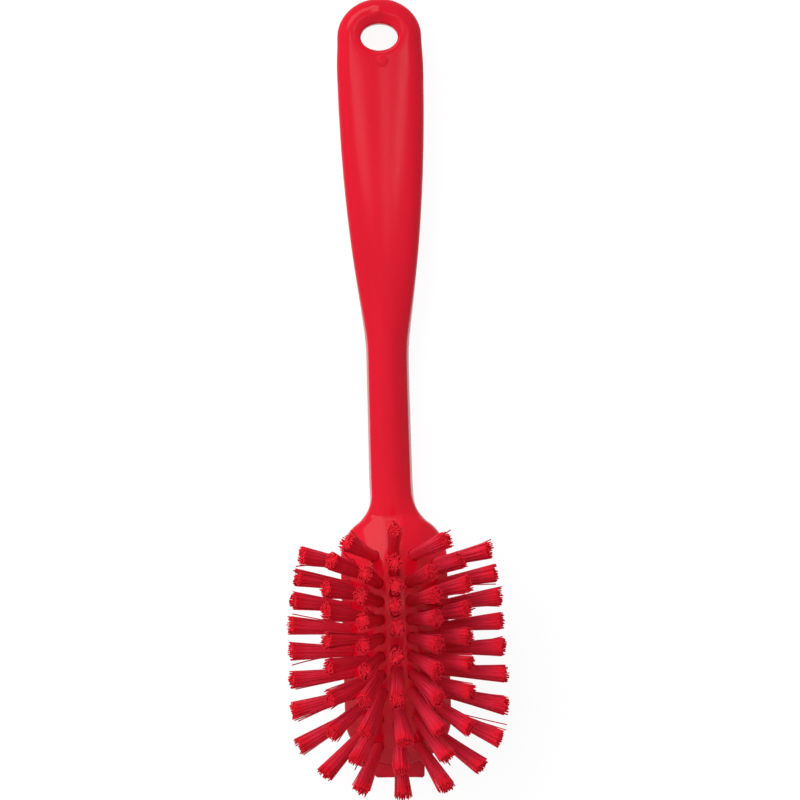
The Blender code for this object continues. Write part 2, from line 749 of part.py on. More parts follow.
def add_tuft(mesh, root, direction, depth):
    """One tuft: a plug that sits in the backing and the strands above it."""
    radius = TUFT_HOLE_RADIUS - FIT_GAP
    lower, upper = prism(mesh, root, direction, radius, depth, TUFT_PROUD, STRANDS_A_TUFT)
    mesh.faces.new(list(reversed(lower)))
    add_strands(mesh, upper, root + direction * TUFT_PROUD, direction, TUFT_VISIBLE_LENGTH - TUFT_PROUD)


def build_tuft(name, root, direction):
    """A tuft as its own piece; those on the -X side are mirror images of their partners."""
    mesh = bmesh.new()
    side = -1.0 if root.x < 0 else 1.0
    across = Vector((side, 1.0, 1.0))
    add_tuft(mesh, root * across, direction * across, TUFT_HOLE_DEPTH - FIT_GAP)
    for vertex in mesh.verts:
        vertex.co = vertex.co * across
    return finish_mesh(mesh, name)


def crown_bar(clearance, top_lift):
    """Straight-sided bar under the crown line: the row's slice, or with a clearance its slot."""
    mesh = bmesh.new()
    half = ROW_BAR_WIDTH / 2 + clearance
    below = ROW_BAR_THICKNESS + clearance
    first = ROW_STARTS_AT - ROW_BAR_OVERRUN - clearance
    length = ROW_PITCH * (ROW_COUNT - 1) + 2.0 * (ROW_BAR_OVERRUN + clearance)
    rows = []
    for step in range(BAR_STEPS + 1):
        along = first + length * step / BAR_STEPS
        crown = crown_height(along)
        row = []
        for x, z in ((half, -below), (half, top_lift), (-half, top_lift), (-half, -below)):
            row.append(mesh.verts.new((x, -along, crown + z)))
        rows.append(row)
    for before, after in zip(rows, rows[1:]):
        for index in range(4):
            beyond = (index + 1) % 4
            mesh.faces.new((before[index], before[beyond], after[beyond], after[index]))
    mesh.faces.new(rows[0])
    mesh.faces.new(list(reversed(rows[-1])))
    return finish_mesh(mesh, "crown_bar")


def build_row(tufts):
    """Centre row: its tufts fused to a narrow slice of the crown."""
    row = crown_bar(0.0, 0.0)
    mesh = bmesh.new()
    for root, direction in tufts:
        add_tuft(mesh, root, direction, ROW_BAR_THICKNESS / 2)
    combine(row, finish_mesh(mesh, "row_strands"), "UNION")
    row.name = "tuft_row_centre"
    return row


def build_body(ring_holes):
    """The moulded body: handle, neck, head and scraper in one, with every hole cut."""
    body = build_stem()
    combine(body, build_head(), "UNION")
    combine(body, build_scraper(), "UNION")

    mesh = bmesh.new()
    up = Vector((0.0, 0.0, 1.0))
    past = HANDLE_THICKNESS
    hole = Vector((0.0, -HOLE_AT, 0.0))
    closed_prism(mesh, hole, up, HOLE_WIDTH / 2, past, 2.0 * past, HOLE_SIDES, HOLE_LENGTH / HOLE_WIDTH)
    mark_at = HOLE_AT + HOLE_LENGTH / 2 + GATE_MARK_BELOW_HOLE
    mark = Vector((GATE_MARK_ASIDE, -mark_at, HANDLE_THICKNESS + HANDLE_CROWN))
    closed_prism(mesh, mark, up, GATE_MARK_WIDTH / 2, GATE_MARK_DEPTH, past, GATE_MARK_SIDES)
    combine(body, finish_mesh(mesh, "handle_holes"), "DIFFERENCE")

    mesh = bmesh.new()
    for root, direction in ring_holes:
        above = 2.0 * TUFT_HOLE_DEPTH
        closed_prism(mesh, root, direction, TUFT_HOLE_RADIUS, TUFT_HOLE_DEPTH, above, TUFT_HOLE_SIDES)
    combine(body, finish_mesh(mesh, "tuft_holes"), "DIFFERENCE")
    combine(body, crown_bar(FIT_GAP, CROWN_HEIGHT), "DIFFERENCE")
    body.name = "brush_body"
    return body


def surface_material(name, colour, roughness):
    material = bpy.data.materials.new(name)
    material.use_nodes = True
    shader = material.node_tree.nodes["Principled BSDF"]
    shader.inputs["Base Color"].default_value = (*colour, 1.0)
    shader.inputs["Roughness"].default_value = roughness
    shader.inputs["Metallic"].default_value = 0.0
    return material


def dress(item, material, angle):
    """Cleans the mesh, gives it its material and shades round forms smooth."""
    mesh = bmesh.new()
    mesh.from_mesh(item.data)
    bmesh.ops.remove_doubles(mesh, verts=mesh.verts, dist=MERGE_WITHIN)
    bmesh.ops.dissolve_degenerate(mesh, edges=mesh.edges, dist=SLIVER_BELOW)
    bmesh.ops.triangulate(mesh, faces=mesh.faces)
    bmesh.ops.recalc_face_normals(mesh, faces=mesh.faces)
    mesh.to_mesh(item.data)
    mesh.free()
    item.data.name = item.name
    item.data.materials.clear()
    item.data.materials.append(material)
    item.data.shade_smooth()
    item.data.set_sharp_from_angle(angle=math.radians(angle))


def settle_origin(items):
    """Puts the middle of the underside of the whole brush at the origin."""
    points = [vertex.co for item in items for vertex in item.data.vertices]
    low = [min(point[axis] for point in points) for axis in range(3)]
    high = [max(point[axis] for point in points) for axis in range(3)]
    shift = Vector((0.0, -(low[1] + high[1]) / 2, -low[2]))
    for item in items:
        item.data.transform(Matrix.Translation(shift))


def main():
    clear_scene()
    head = build_head()
    scratch = bmesh.new()
    scratch.from_mesh(head.data)
    surface = BVHTree.FromBMesh(scratch)
    scratch.free()
    bpy.data.objects.remove(head, do_unlink=True)

    rings = []
    for ring in (OUTER_RING, MIDDLE_RING, INNER_RING):
        rings += ring_tufts(ring, surface)
    row = row_tufts(surface)

    body = build_body([(root, direction) for name, root, direction in rings])
    row_item = build_row(row)
    tufts = [build_tuft(name, root, direction) for name, root, direction in rings]

    dress(body, surface_material("red_moulded_plastic", BODY_COLOUR, BODY_ROUGHNESS), BODY_SMOOTH_ANGLE)
    for item in [row_item] + tufts:
        filament = surface_material("filament_" + item.name, FILAMENT_COLOUR, FILAMENT_ROUGHNESS)
        dress(item, filament, FILAMENT_SMOOTH_ANGLE)
    settle_origin([body, row_item] + tufts)


main()
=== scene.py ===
"""Dish-washing scrub brush: its looks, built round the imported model. Metres, +Z up.

The brush lies on its back with the tufts up. Along the brush, places are given as a distance from the
handle end; +Y points to the handle end and +X to the right of somebody who looks down on the tufts.
"""

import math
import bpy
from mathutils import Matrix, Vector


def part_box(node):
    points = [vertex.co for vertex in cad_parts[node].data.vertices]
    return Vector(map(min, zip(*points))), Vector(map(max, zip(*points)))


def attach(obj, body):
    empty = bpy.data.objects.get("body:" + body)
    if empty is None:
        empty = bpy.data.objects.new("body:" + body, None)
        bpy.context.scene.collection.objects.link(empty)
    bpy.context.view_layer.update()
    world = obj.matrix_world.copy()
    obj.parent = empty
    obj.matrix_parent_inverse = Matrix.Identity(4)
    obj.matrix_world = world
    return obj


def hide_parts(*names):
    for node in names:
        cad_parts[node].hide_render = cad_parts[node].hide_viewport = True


bl_info = {
    "name": "Dish brush",
    "version": (1, 0, 0),
    "blender": (4, 5, 0),
    "location": "3D Viewport > Sidebar > Dish brush",
    "description": "Builds a one-piece plastic dish brush with four lines of filament tufts",
    "category": "Add Mesh",
}

import bmesh
import bpy
import numpy as np
from bpy.props import FloatProperty, FloatVectorProperty, IntProperty, PointerProperty
from mathutils import Vector

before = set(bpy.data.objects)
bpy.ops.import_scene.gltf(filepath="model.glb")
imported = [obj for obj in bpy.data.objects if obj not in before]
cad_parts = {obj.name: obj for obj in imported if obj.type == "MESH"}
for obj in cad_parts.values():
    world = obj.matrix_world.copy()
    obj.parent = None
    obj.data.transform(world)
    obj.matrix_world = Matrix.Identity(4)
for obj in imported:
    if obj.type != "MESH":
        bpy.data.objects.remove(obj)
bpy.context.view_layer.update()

MM = 0.001
QUARTER_TURN = math.pi / 2
BODY_NODE = "brush_body"
ROW_NODE = "tuft_row_centre"
HANDLE_END_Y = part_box(BODY_NODE)[1].y

# Handle, measured from the handle end
HANDLE_END_WIDTH = 28.4 * MM
HANDLE_END_ARCH = 13.0 * MM
HANDLE_WIDEST_AT = 24.0 * MM
HANDLE_TAPER_LENGTH = 92.0 * MM
HANDLE_THINS_FROM = 60.0 * MM
HANDLE_TOP_ROUNDING = 6.2 * MM
HANDLE_BACK_ROUNDING = 4.0 * MM
HANDLE_CROWN = 0.6 * MM
PARTING_SLOPE = 32.0

# Neck
NECK_WIDTH_AT_HEAD = 14.85 * MM
NECK_SWAY = 0.27 * MM
NECK_SWAYS_FROM = 100.0 * MM
NECK_SWAY_LEAD = 30.0 * MM
NECK_THICKNESS_AT_HEAD = 11.0 * MM
NECK_TOP_ROUNDING = 0.7 * MM
NECK_CROWN = 3.2 * MM
FLARE_CROWN_LOSS = 2.2 * MM
FLARE_TOP_ROUNDING = 3.4 * MM
NECK_BACK_ROUNDING = 0.9 * MM
NECK_SIDE_DRAFT = 0.8 * MM
NECK_BLEND = 0.65 * MM
NECK_SHAPE_LEAD = 34.0 * MM
NECK_ARCH_RISE = 3.6 * MM
NECK_ARCH_FROM = 36.0 * MM
NECK_FLARE_LEAD = 7.0 * MM
NECK_FLARE_LENGTH = 9.6 * MM
NECK_FLARE_EACH_SIDE = 3.95 * MM
FLARE_ROUNDS_EARLY = 1.4
FLARE_LOSES_DRAFT_EARLY = 1.5
NECK_REACH_INTO_HEAD = 12.0 * MM
NECK_SINK = 0.3 * MM

# Hanging hole, dish and gate mark
HOLE_AT = 13.2 * MM
HOLE_SIDES = 72
HOLE_DRAFT = 1.3 * MM
HOLE_STRAIGHT_FROM = 7.0 * MM
DISH_AHEAD_OF_HOLE = 1.7 * MM
DISH_MARGIN_ASIDE = 3.35 * MM
DISH_MARGIN_ALONG = 3.4 * MM
DISH_STARTS_UP_SIDE = 0.6
GATE_MARK_BELOW_HOLE = 3.7 * MM
GATE_MARK_ASIDE = 0.8 * MM
GATE_MARK_WIDTH = 4.0 * MM
GATE_MARK_PROUD = 0.22 * MM
GATE_MARK_LIP = 0.3 * MM

# Head block
HEAD_STARTS_AT = 174.0 * MM
HEAD_SHOULDER = 16.0 * MM
HEAD_SHOULDER_POWER = 2.3
HEAD_TIP_ROUNDNESS = 0.93
HEAD_TIP_HEIGHT = 3.5 * MM
HEAD_BACK_CHAMFER = 0.8 * MM
HEAD_RIM_SOFTENING = 0.6 * MM
SHOULDER_ROUNDING = 10.2 * MM
SHOULDER_FALL = 6.3 * MM
SHOULDER_POWER = 1.7
DOME_SPREAD_AT_NECK = 0.14
DOME_EDGE_BLEND = 0.12 * MM
DOME_FLANK_BLEND = 1.8 * MM
CROWN_STRIP_WIDTH = 6.4 * MM
CROWN_BEHIND_HEAD_START = 40.0 * MM
CROWN_DROP_TO_NECK = 11.1 * MM
CROWN_DROP_TO_TIP = 17.0 * MM
CROWN_POWER = 2.2
INNER_FACET_WIDTH = 4.8 * MM

# Facets from the crown outwards: width, slope
FACETS = (
    (INNER_FACET_WIDTH, 15.5),
    (5.0 * MM, 31.0),
    (5.0 * MM, 50.0),
)

# Their edges, from the crown strip out to the rim: distance inside the rim at the neck, at the tip
EDGE_INSETS = (
    (8.0 * MM, 27.3 * MM),
    (5.5 * MM, 18.8 * MM),
    (2.2 * MM, 11.0 * MM),
    (0.0, 0.0),
)

# Scraping edge
SCRAPER_REACH_INTO_HEAD = 10.8 * MM
SCRAPER_BACK_LIFT = 0.35 * MM
SCRAPER_ROOT_THICKNESS = 2.2 * MM
SCRAPER_EDGE_THICKNESS = 0.9 * MM
SCRAPER_CORNER = 1.0 * MM
SCRAPER_SLANT = 0.028

# How far below the surface the solids start that cut the holes or add the gate mark
TOOL_SINK = 1.0 * MM

# Tuft holes and the centre row
TUFT_HOLE_RADIUS = 1.95 * MM
TUFT_HOLE_DEPTH = 4.2 * MM
TUFT_HOLE_SIDES = 20
ROW_COUNT = 7
ROW_BEHIND_HEAD_START = 12.4 * MM
ROW_CLEAR_OF_STRIP_END = 6.5 * MM
ROW_FAN_LEAN = 18.9
ROW_NECK_LEAN = 7.0

# Fineness of the moulded body
SKIN = 0.48 * MM
SKIN_SMOOTHING = 4
RELAX = 0.5
MELT_LEAD = 4.0 * MM
MELT_LENGTH = 20.0 * MM
MELT_CLEAR_OF_MIDDLE = 5.5 * MM
MELT_ABOVE = 4.5 * MM
MELT_STEPS = 45
HANDLE_EVEN_FROM = 26.0 * MM
ARCH_STEPS = 28
STATION_PITCH = 2.0 * MM
ROUND_STEPS = 7
ACROSS_STEPS = 28
RING_STEPS = 20
FACET_STEPS = 3
DOME_STEPS = 36
NECK_HALF_PITCH = 0.8 * MM
NECK_HALF_OVERLAP = 0.3 * MM
BODY_SHARP_FROM = 45.0

# Bristles
POINT_DIGITS = 7
PLUG_PROUD = 0.35 * MM
PLUG_FOOT = 1.5 * MM
PLUG_TOP = (2.5 * MM, 6.5 * MM)
ROOT_DEPTH = 3.8 * MM
ROOT_CLEARANCE = 0.62
PATH_POINTS = 8
TIP_WANDER = 0.14 * MM
BOW = 0.3 * MM
BEND = 1.15
STRAY_BEND = (1.1, 1.7)
STRAY_REACH = (1.2 * MM, 3.2 * MM)
CUT_FACES_UP = 0.5
CUT_SPREAD = 0.85
CLUMP_SHARE = 0.6
CLUMPS_A_WIDTH = 1.3
CLUMP_WAVES = 3
STRAND_SIDES = 6
STRAND_SHARE = 0.45
CORE_SIDES = 26
CORE_PERCENTILE = 78
CORE_RIDGES = 0.05
CORE_BELOW_TIPS = 1.1 * MM
CORE_TOP_PLACE = 0.9
CORE_CAP_WIDTH = 0.5
STRAND_SHARP_FROM = 70.0
NO_STRAND_HEADS_FOR = (0.31, 0.95, 0.05)
SEEDS = {"outer": 100, "middle": 200, "inner": 300, "row": 400}
ROW_MESH_SEED = 499

# How far use has pushed the tips of each line of tufts to the right and towards the handle
BRISTLE_SET = {
    "outer": (1.5 * MM, 0.8 * MM),
    "middle": (1.1 * MM, 0.8 * MM),
    "inner": (1.7 * MM, 0.6 * MM),
    "row": (0.5 * MM, 0.3 * MM),
}

# Finish of the plastic: flow clouds, orange peel and rub marks
PLASTIC_IOR = 1.45
PLASTIC_GLOSS = 0.16
CLOUD_SIZE = 16.0 * MM
CLOUD_DETAIL = 3.0
CLOUD_STRETCH = (1.0, 0.35, 1.0)
CLOUD_SPAN = (0.3, 0.7)
CLOUD_SHADES = (0.955, 1.045)
CLOUD_ROUGHNESS = (0.11, 0.15)
FINE_DETAIL = 2.0
PEEL_SIZE = 1.1 * MM
PEEL_HEIGHT = 0.05 * MM
PEEL_STRENGTH = 0.12
RUB_MARKS_A_METRE = 2600.0
RUB_STRETCH = (1.0, 0.06, 1.0)
RUB_TURN = 0.12
RUB_SPAN = (0.60, 0.78)
RUB_ROUGHNESS = 0.04

# Finish of the filament: tone by strand, painted light that makes the tips lighter than the roots, and a
# painted sheen on the shafts that gives way to the deeper red of the cut ends
FILAMENT_GLOSS = 0.2
STRAND_SHADES = (0.93, 1.03)
# Painted light: from this place along a strand to its tip, the strand goes from a little darker to a little
# lighter
PAINTED_TIP_LIGHT_FROM = 0.35
PAINTED_TIP_LIGHT = (0.97, 1.02)
# Span along a strand over which the shafts' painted sheen gives way to the deeper red of the cut ends
PAINTED_SHEEN_FADE_SPAN = (0.75, 0.97)
END_ROUGH_FROM = 0.97
END_ROUGHNESS = (0.45, 0.7)

# Camera, floor and lamps
CAMERA_HEIGHT = 1.1
CAMERA_ASIDE = 3.6 * MM
CAMERA_DOWN = 0.96 * MM
CAMERA_ROLL = -1.6
SENSOR_WIDTH = 36.0
PIXELS_A_METRE = 2964.0
PIXELS_AT_HEIGHT = 10.0 * MM
PICTURE_PIXELS = 800
FLOOR_SIZE = 12.0
FLOOR_GLOW = 0.92
FLOOR_SHADOW = 0.12
SURROUND = 0.20

# Lamps: place, (size across, size along), brightness, seen in the gloss
SOFTBOXES = {
    "left_softbox": ((-0.92, 0.16, 0.92), (1.20, 1.10), 1.28, False),
    "overhead_softbox": ((-0.05, 0.05, 1.50), (1.20, 1.20), 1.20, False),
    "overhead_panel": ((0.05, 0.25, 1.35), (0.12, 0.36), 1.90, True),
    "left_strip": ((-0.35, 0.25, 1.35), (0.12, 0.36), 3.40, True),
    "right_strip": ((0.27, 0.25, 1.35), (0.08, 0.36), 3.90, True),
    "far_softbox": ((-0.50, 0.98, 0.94), (1.10, 0.62), 3.80, True),
}


def distance(name, description, default, low, high):
    """A size that a user can set, given here in millimetres."""
    return FloatProperty(
        name=name, description=description, default=default * MM, min=low * MM, max=high * MM,
        subtype="DISTANCE", unit="LENGTH")


def colour(name, description, default):
    """A colour that a user can set."""
    return FloatVectorProperty(
        name=name, description=description, default=default, size=3, subtype="COLOR", min=0.0, max=1.0)


class BodySizes(bpy.types.PropertyGroup):
    """Main sizes of the moulded body."""

    handle_width: distance("Handle width", "Across the widest part of the handle", 29.2, 20.0, 40.0)
    handle_thickness: distance(
        "Handle thickness", "From the flat back to the front of the handle", 12.6, 8.0, 20.0)
    neck_width: distance("Neck width", "Across the narrowest part of the neck", 14.25, 8.0, 20.0)
    hole_width: distance("Hole width", "Across the oval hanging hole", 12.5, 6.0, 18.0)
    hole_length: distance("Hole length", "Along the oval hanging hole", 9.2, 5.0, 15.0)
    dish_depth: distance("Dish depth", "How far the front sinks in round the hanging hole", 3.2, 0.0, 6.0)
    head_length: distance("Head length", "From the shoulders to the tip of the head", 85.8, 60.0, 110.0)
    crown_height: distance(
        "Crown height", "Height of the head's highest line above its back", 21.0, 15.0, 30.0)
    scraper_width: distance("Scraper width", "Across the scraping edge", 17.2, 10.0, 30.0)
    scraper_length: distance(
        "Scraper length", "How far the scraping edge stands out from the tip", 4.3, 1.0, 10.0)


class TuftSizes(bpy.types.PropertyGroup):
    """Sizes of the filament tufts."""

    length: distance("Length", "Length of a filament above the head", 25.95, 10.0, 40.0)
    count: IntProperty(
        name="Filaments", description="Filament ends in a tuft", default=84, min=10, max=120)
    thickness: distance("Thickness", "Diameter of a filament", 0.41, 0.1, 1.0)
    splay: FloatProperty(
        name="Splay", description="Width of a tuft at its tips over its width in the hole, along its ring",
        default=1.8, min=1.0, max=2.5)
    splay_across: FloatProperty(
        name="Splay across", description="The same, across its ring", default=1.45, min=1.0, max=2.5)
    strays: IntProperty(
        name="Strays", description="Filaments of a tuft that stand away from the rest",
        default=3, min=0, max=8)
    unevenness: distance(
        "Unevenness", "How much shorter than the rest a filament may be cut", 0.7, 0.0, 3.0)


class BrushColours(bpy.types.PropertyGroup):
    """Colours of the plastic, of the filament and of the floor."""

    plastic: colour("Plastic", "Colour of the moulded body", (0.80, 0.003, 0.024))
    # The filament colour is the bristles' red with a painted sheen of their shafts; the ends' colour is the
    # deeper red without it
    filament_with_painted_sheen: colour("Filament", "Colour of the bristles", (0.97, 0.041, 0.095))
    filament_end: colour("Filament ends", "Colour of the bristles at their cut ends", (0.95, 0.016, 0.042))
    ground: colour("Floor", "Colour of the floor", (0.80, 0.80, 0.80))


def smooth(value):
    """A smooth rise from 0 to 1 as the value goes from 0 to 1."""
    value = min(max(value, 0.0), 1.0)
    return value * value * (3.0 - 2.0 * value)


def soft_max(first, second, blend):
    """The larger of two sizes, with a soft blend where they meet."""
    gap = (first - second) / blend
    return second + blend * (gap / 2 + math.sqrt(gap * gap / 4 + 0.25))


def between(first, last, share):
    """The size that lies between two sizes, at a share of the way from the first to the last."""
    return first + (last - first) * share


def evenly(first, last, steps):
    """Evenly spaced values from first to last, with both of them."""
    return [first + (last - first) * step / steps for step in range(steps + 1)]


def at(across, along, height):
    """A point of the shared frame, from a place on the brush."""
    return Vector((across, HANDLE_END_Y - along, height))


class HeadLine:
    """A closed line round the head, in plan and in height."""

    def __init__(self, head, half_width, neck_inset, tip_inset, drop):
        self.head = head
        self.half_width = half_width
        self.neck_end = HEAD_STARTS_AT + neck_inset
        self.neck_turn = HEAD_STARTS_AT + HEAD_SHOULDER
        self.tip_end = head.tip_at - tip_inset
        self.tip_turn = self.tip_end - half_width * HEAD_TIP_ROUNDNESS
        self.middle_height = head.crown - drop
        self.neck_height = head.crown_line(self.neck_end)
        self.tip_height = head.crown_line(self.tip_end)

    def height(self, along):
        """Height of the line above the head's back."""
        crown_at = self.head.crown_at
        if along < crown_at:
            share = (crown_at - along) / (crown_at - self.neck_end)
            drop = self.middle_height - self.neck_height
        else:
            share = (along - crown_at) / (self.tip_end - crown_at)
            drop = self.middle_height - self.tip_height
        return self.middle_height - drop * share ** CROWN_POWER

    def half_points(self, inset=0.0):
        """Points from the neck end to the tip end on the +X side, as (across, along)."""
        points = []
        half = self.half_width - inset
        neck_length = self.neck_turn - self.neck_end - inset
        tip_length = self.tip_end - self.tip_turn - inset
        for angle in evenly(0.0, QUARTER_TURN, RING_STEPS)[:-1]:
            across = half * math.sin(angle) ** (2 / HEAD_SHOULDER_POWER)
            along = self.neck_turn - neck_length * math.cos(angle) ** (2 / HEAD_SHOULDER_POWER)
            points.append((across, along))
        for along in evenly(self.neck_turn, self.tip_turn, RING_STEPS)[:-1]:
            points.append((half, along))
        for angle in evenly(0.0, QUARTER_TURN, RING_STEPS)[:-1]:
            points.append((half * math.cos(angle), self.tip_turn + tip_length * math.sin(angle)))
        points.append((0.0, self.tip_turn + tip_length))
        return points


class Head:
    """The head block's lines, worked out from its sizes."""

    def __init__(self, sizes):
        self.crown = sizes.crown_height
        self.tip_at = HEAD_STARTS_AT + sizes.head_length
        self.crown_at = HEAD_STARTS_AT + CROWN_BEHIND_HEAD_START
        half = CROWN_STRIP_WIDTH / 2
        drop = 0.0
        lines = [HeadLine(self, half, *EDGE_INSETS[0], drop)]
        for (width, slope), insets in zip(FACETS, EDGE_INSETS[1:]):
            half += width
            drop += width * math.tan(math.radians(slope))
            lines.append(HeadLine(self, half, *insets, drop))
        self.strip, self.middle, self.outer, self.rim = lines
        self.rim.neck_height = self.rim.middle_height
        self.rim.tip_height = HEAD_TIP_HEIGHT

    def crown_line(self, along):
        """Height of the crown line, which falls away to the neck and to the tip."""
        if along < self.crown_at:
            share = (self.crown_at - along) / (self.crown_at - HEAD_STARTS_AT)
            return self.crown - CROWN_DROP_TO_NECK * share ** CROWN_POWER
        share = (along - self.crown_at) / (self.tip_at - self.crown_at)
        return self.crown - CROWN_DROP_TO_TIP * share ** CROWN_POWER


class Stem:
    """Shape of the handle and neck at a distance from the handle end."""

    def __init__(self, sizes, head):
        self.sizes = sizes
        self.taper_end = HANDLE_WIDEST_AT + HANDLE_TAPER_LENGTH
        self.flare_start = HEAD_STARTS_AT - NECK_FLARE_LEAD
        self.flare_end = self.flare_start + NECK_FLARE_LENGTH
        self.shoulder_height = head.rim.middle_height

    def flare(self, along):
        """0 on the neck, 1 where it has widened into the shoulders of the head."""
        return min(1.0, max(0.0, (along - self.flare_start) / NECK_FLARE_LENGTH))

    def neck_share(self, along):
        """0 on the rounded handle, 1 on the flat-fronted neck."""
        return smooth((along - self.taper_end) / NECK_SHAPE_LEAD + 1.0)

    def half_width(self, along):
        """From the middle line to the outline, which flares where it meets the head."""
        width = self.sizes.handle_width
        neck_width = self.sizes.neck_width
        share = max(0.0, (along - self.taper_end) / (self.flare_start - self.taper_end))
        neck = between(neck_width, NECK_WIDTH_AT_HEAD, share) / 2
        share = max(0.0, along - HANDLE_WIDEST_AT) / HANDLE_TAPER_LENGTH
        handle = width / 2 - (width - neck_width) / 2 * share ** 2
        grown = smooth((along - HANDLE_END_ARCH) / (HANDLE_WIDEST_AT - HANDLE_END_ARCH))
        handle -= (width - HANDLE_END_WIDTH) / 2 * (1.0 - grown)
        return soft_max(handle, neck, NECK_BLEND) + NECK_FLARE_EACH_SIDE * self.flare(along) ** 3

    def back(self, along):
        """Height of the underside: flat under the handle end, arched up over the neck."""
        share = (along - NECK_ARCH_FROM) / (self.flare_end - NECK_ARCH_FROM)
        share = min(1.0, max(0.0, share))
        arch = NECK_ARCH_RISE * math.sin(math.pi * share) ** 2
        return arch + (HEAD_BACK_CHAMFER + NECK_SINK) * smooth(2.0 * share - 1.0)

    def top(self, along):
        """Height of the front's edges: it thins to the neck, then sinks just under the head's shoulders."""
        thickness = self.sizes.handle_thickness + HANDLE_CROWN
        share = smooth((along - HANDLE_THINS_FROM) / (self.flare_start - HANDLE_THINS_FROM))
        middle = between(thickness, NECK_THICKNESS_AT_HEAD, share)
        middle += (self.shoulder_height - NECK_SINK - NECK_THICKNESS_AT_HEAD) * self.flare(along) ** 2
        return middle - self.crown(along)

    def dish(self, across, along):
        """How far the front sinks in round the hanging hole."""
        half_width = self.sizes.hole_width / 2 + DISH_MARGIN_ASIDE
        half_length = self.sizes.hole_length / 2 + DISH_MARGIN_ALONG
        reach = math.hypot(across / half_width, (along - HOLE_AT + DISH_AHEAD_OF_HOLE) / half_length)
        return self.sizes.dish_depth * smooth(1.0 - reach)

    def middle(self, along):
        """Place of the middle line across the brush: the neck lies a little to the left."""
        rise = smooth((along - NECK_SWAYS_FROM) / NECK_SWAY_LEAD)
        ahead = smooth((along - self.flare_start + NECK_FLARE_LENGTH / 2) / NECK_FLARE_LENGTH)
        return -NECK_SWAY * rise * (1.0 - ahead)

    def crown(self, along):
        """How far the middle of the front stands above its edges."""
        crown = between(HANDLE_CROWN, NECK_CROWN, self.neck_share(along))
        return crown - FLARE_CROWN_LOSS * self.flare(along)

    def front(self, across_share, across, along):
        """Height of the front, with its slight crown and the dish round the hole."""
        crown = self.crown(along) * (1.0 - across_share * across_share)
        return self.top(along) + crown - self.dish(across, along)

    def levels(self, along):
        """(inset from the outline, height) from the back edge of the side up to the front edge."""
        share = self.neck_share(along)
        top_round = between(HANDLE_TOP_ROUNDING, NECK_TOP_ROUNDING, share)
        top_round += FLARE_TOP_ROUNDING * smooth(FLARE_ROUNDS_EARLY * self.flare(along))
        back_round = between(HANDLE_BACK_ROUNDING, NECK_BACK_ROUNDING, share)
        back = self.back(along)
        levels = []
        for angle in evenly(0.0, QUARTER_TURN, ROUND_STEPS):
            height = back + back_round * (1.0 - math.cos(angle))
            levels.append((back_round * (1.0 - math.sin(angle)), height))
        low = math.radians(PARTING_SLOPE)
        draft = NECK_SIDE_DRAFT * share * (1.0 - smooth(FLARE_LOSES_DRAFT_EARLY * self.flare(along)))
        front_half = self.half_width(max(along, HANDLE_END_ARCH)) - top_round * math.cos(low)
        high = QUARTER_TURN - math.atan(2.0 * self.crown(along) / front_half)
        for angle in evenly(low, high, ROUND_STEPS):
            inset = draft + top_round * (math.cos(low) - math.cos(angle))
            levels.append((inset, self.top(along) - top_round * (math.sin(high) - math.sin(angle))))
        return levels

    def stations(self):
        """Outline points on the +X side with their inward directions, from the handle end to the head."""
        stations = []
        half = self.half_width(HANDLE_END_ARCH)
        for angle in evenly(0.0, QUARTER_TURN, ARCH_STEPS):
            across = half * math.sin(angle)
            along = HANDLE_END_ARCH * (1.0 - math.cos(angle))
            inward = Vector((-HANDLE_END_ARCH * math.sin(angle), half * math.cos(angle))).normalized()
            stations.append((across, along, inward))
        last = HEAD_STARTS_AT + NECK_REACH_INTO_HEAD
        steps = round((last - HANDLE_END_ARCH) / STATION_PITCH)
        for along in evenly(HANDLE_END_ARCH, last, steps)[1:]:
            stations.append((self.half_width(along), along, Vector((-1.0, 0.0))))
        return stations


def add_object(name, data):
    """Puts a mesh, lamp or camera into the scene."""
    item = bpy.data.objects.new(name, data)
    bpy.context.scene.collection.objects.link(item)
    return item


def finish_mesh(mesh, name):
    """Turns a mesh under construction into an object with its faces outward."""
    bmesh.ops.recalc_face_normals(mesh, faces=mesh.faces)
    data = bpy.data.meshes.new(name)
    mesh.to_mesh(data)
    mesh.free()
    return add_object(name, data)


def skin(mesh, rows, closed=False):
    """Faces between neighbouring rows of vertices; closed rows are loops, with a lid on each end."""
    for row, ahead in zip(rows, rows[1:]):
        for index in range(len(row) if closed else len(row) - 1):
            after = (index + 1) % len(row)
            mesh.faces.new((row[index], ahead[index], ahead[after], row[after]))
    if closed:
        mesh.faces.new(rows[0])
        mesh.faces.new(rows[-1][::-1])


def side_columns(mesh, stem, stations, side):
    """Vertices up one side of the stem at each station."""
    columns = []
    for across, along, inward in stations:
        column = []
        for inset, height in stem.levels(along):
            x = across + inward.x * inset
            place = along + inward.y * inset
            if height > stem.top(along) * DISH_STARTS_UP_SIDE:
                height -= stem.dish(x, place)
            column.append(mesh.verts.new(at(stem.middle(place) + side * x, place, height)))
        columns.append(column)
    return columns


def rows_across(mesh, stem, rights, lefts, is_front):
    """Rows of vertices across the front or the back, between the ends of the side columns."""
    level = -1 if is_front else 0
    rows = []
    for right, left in zip(rights, lefts):
        along = HANDLE_END_Y - right[level].co.y
        middle = stem.middle(along)
        row = [right[level]]
        for share in evenly(1.0, -1.0, ACROSS_STEPS)[1:-1]:
            x = (right[level].co.x - middle) * share
            height = stem.front(share, x, along) if is_front else stem.back(along)
            row.append(mesh.verts.new(at(middle + x, along, height)))
        rows.append(row + [left[level]])
    return rows


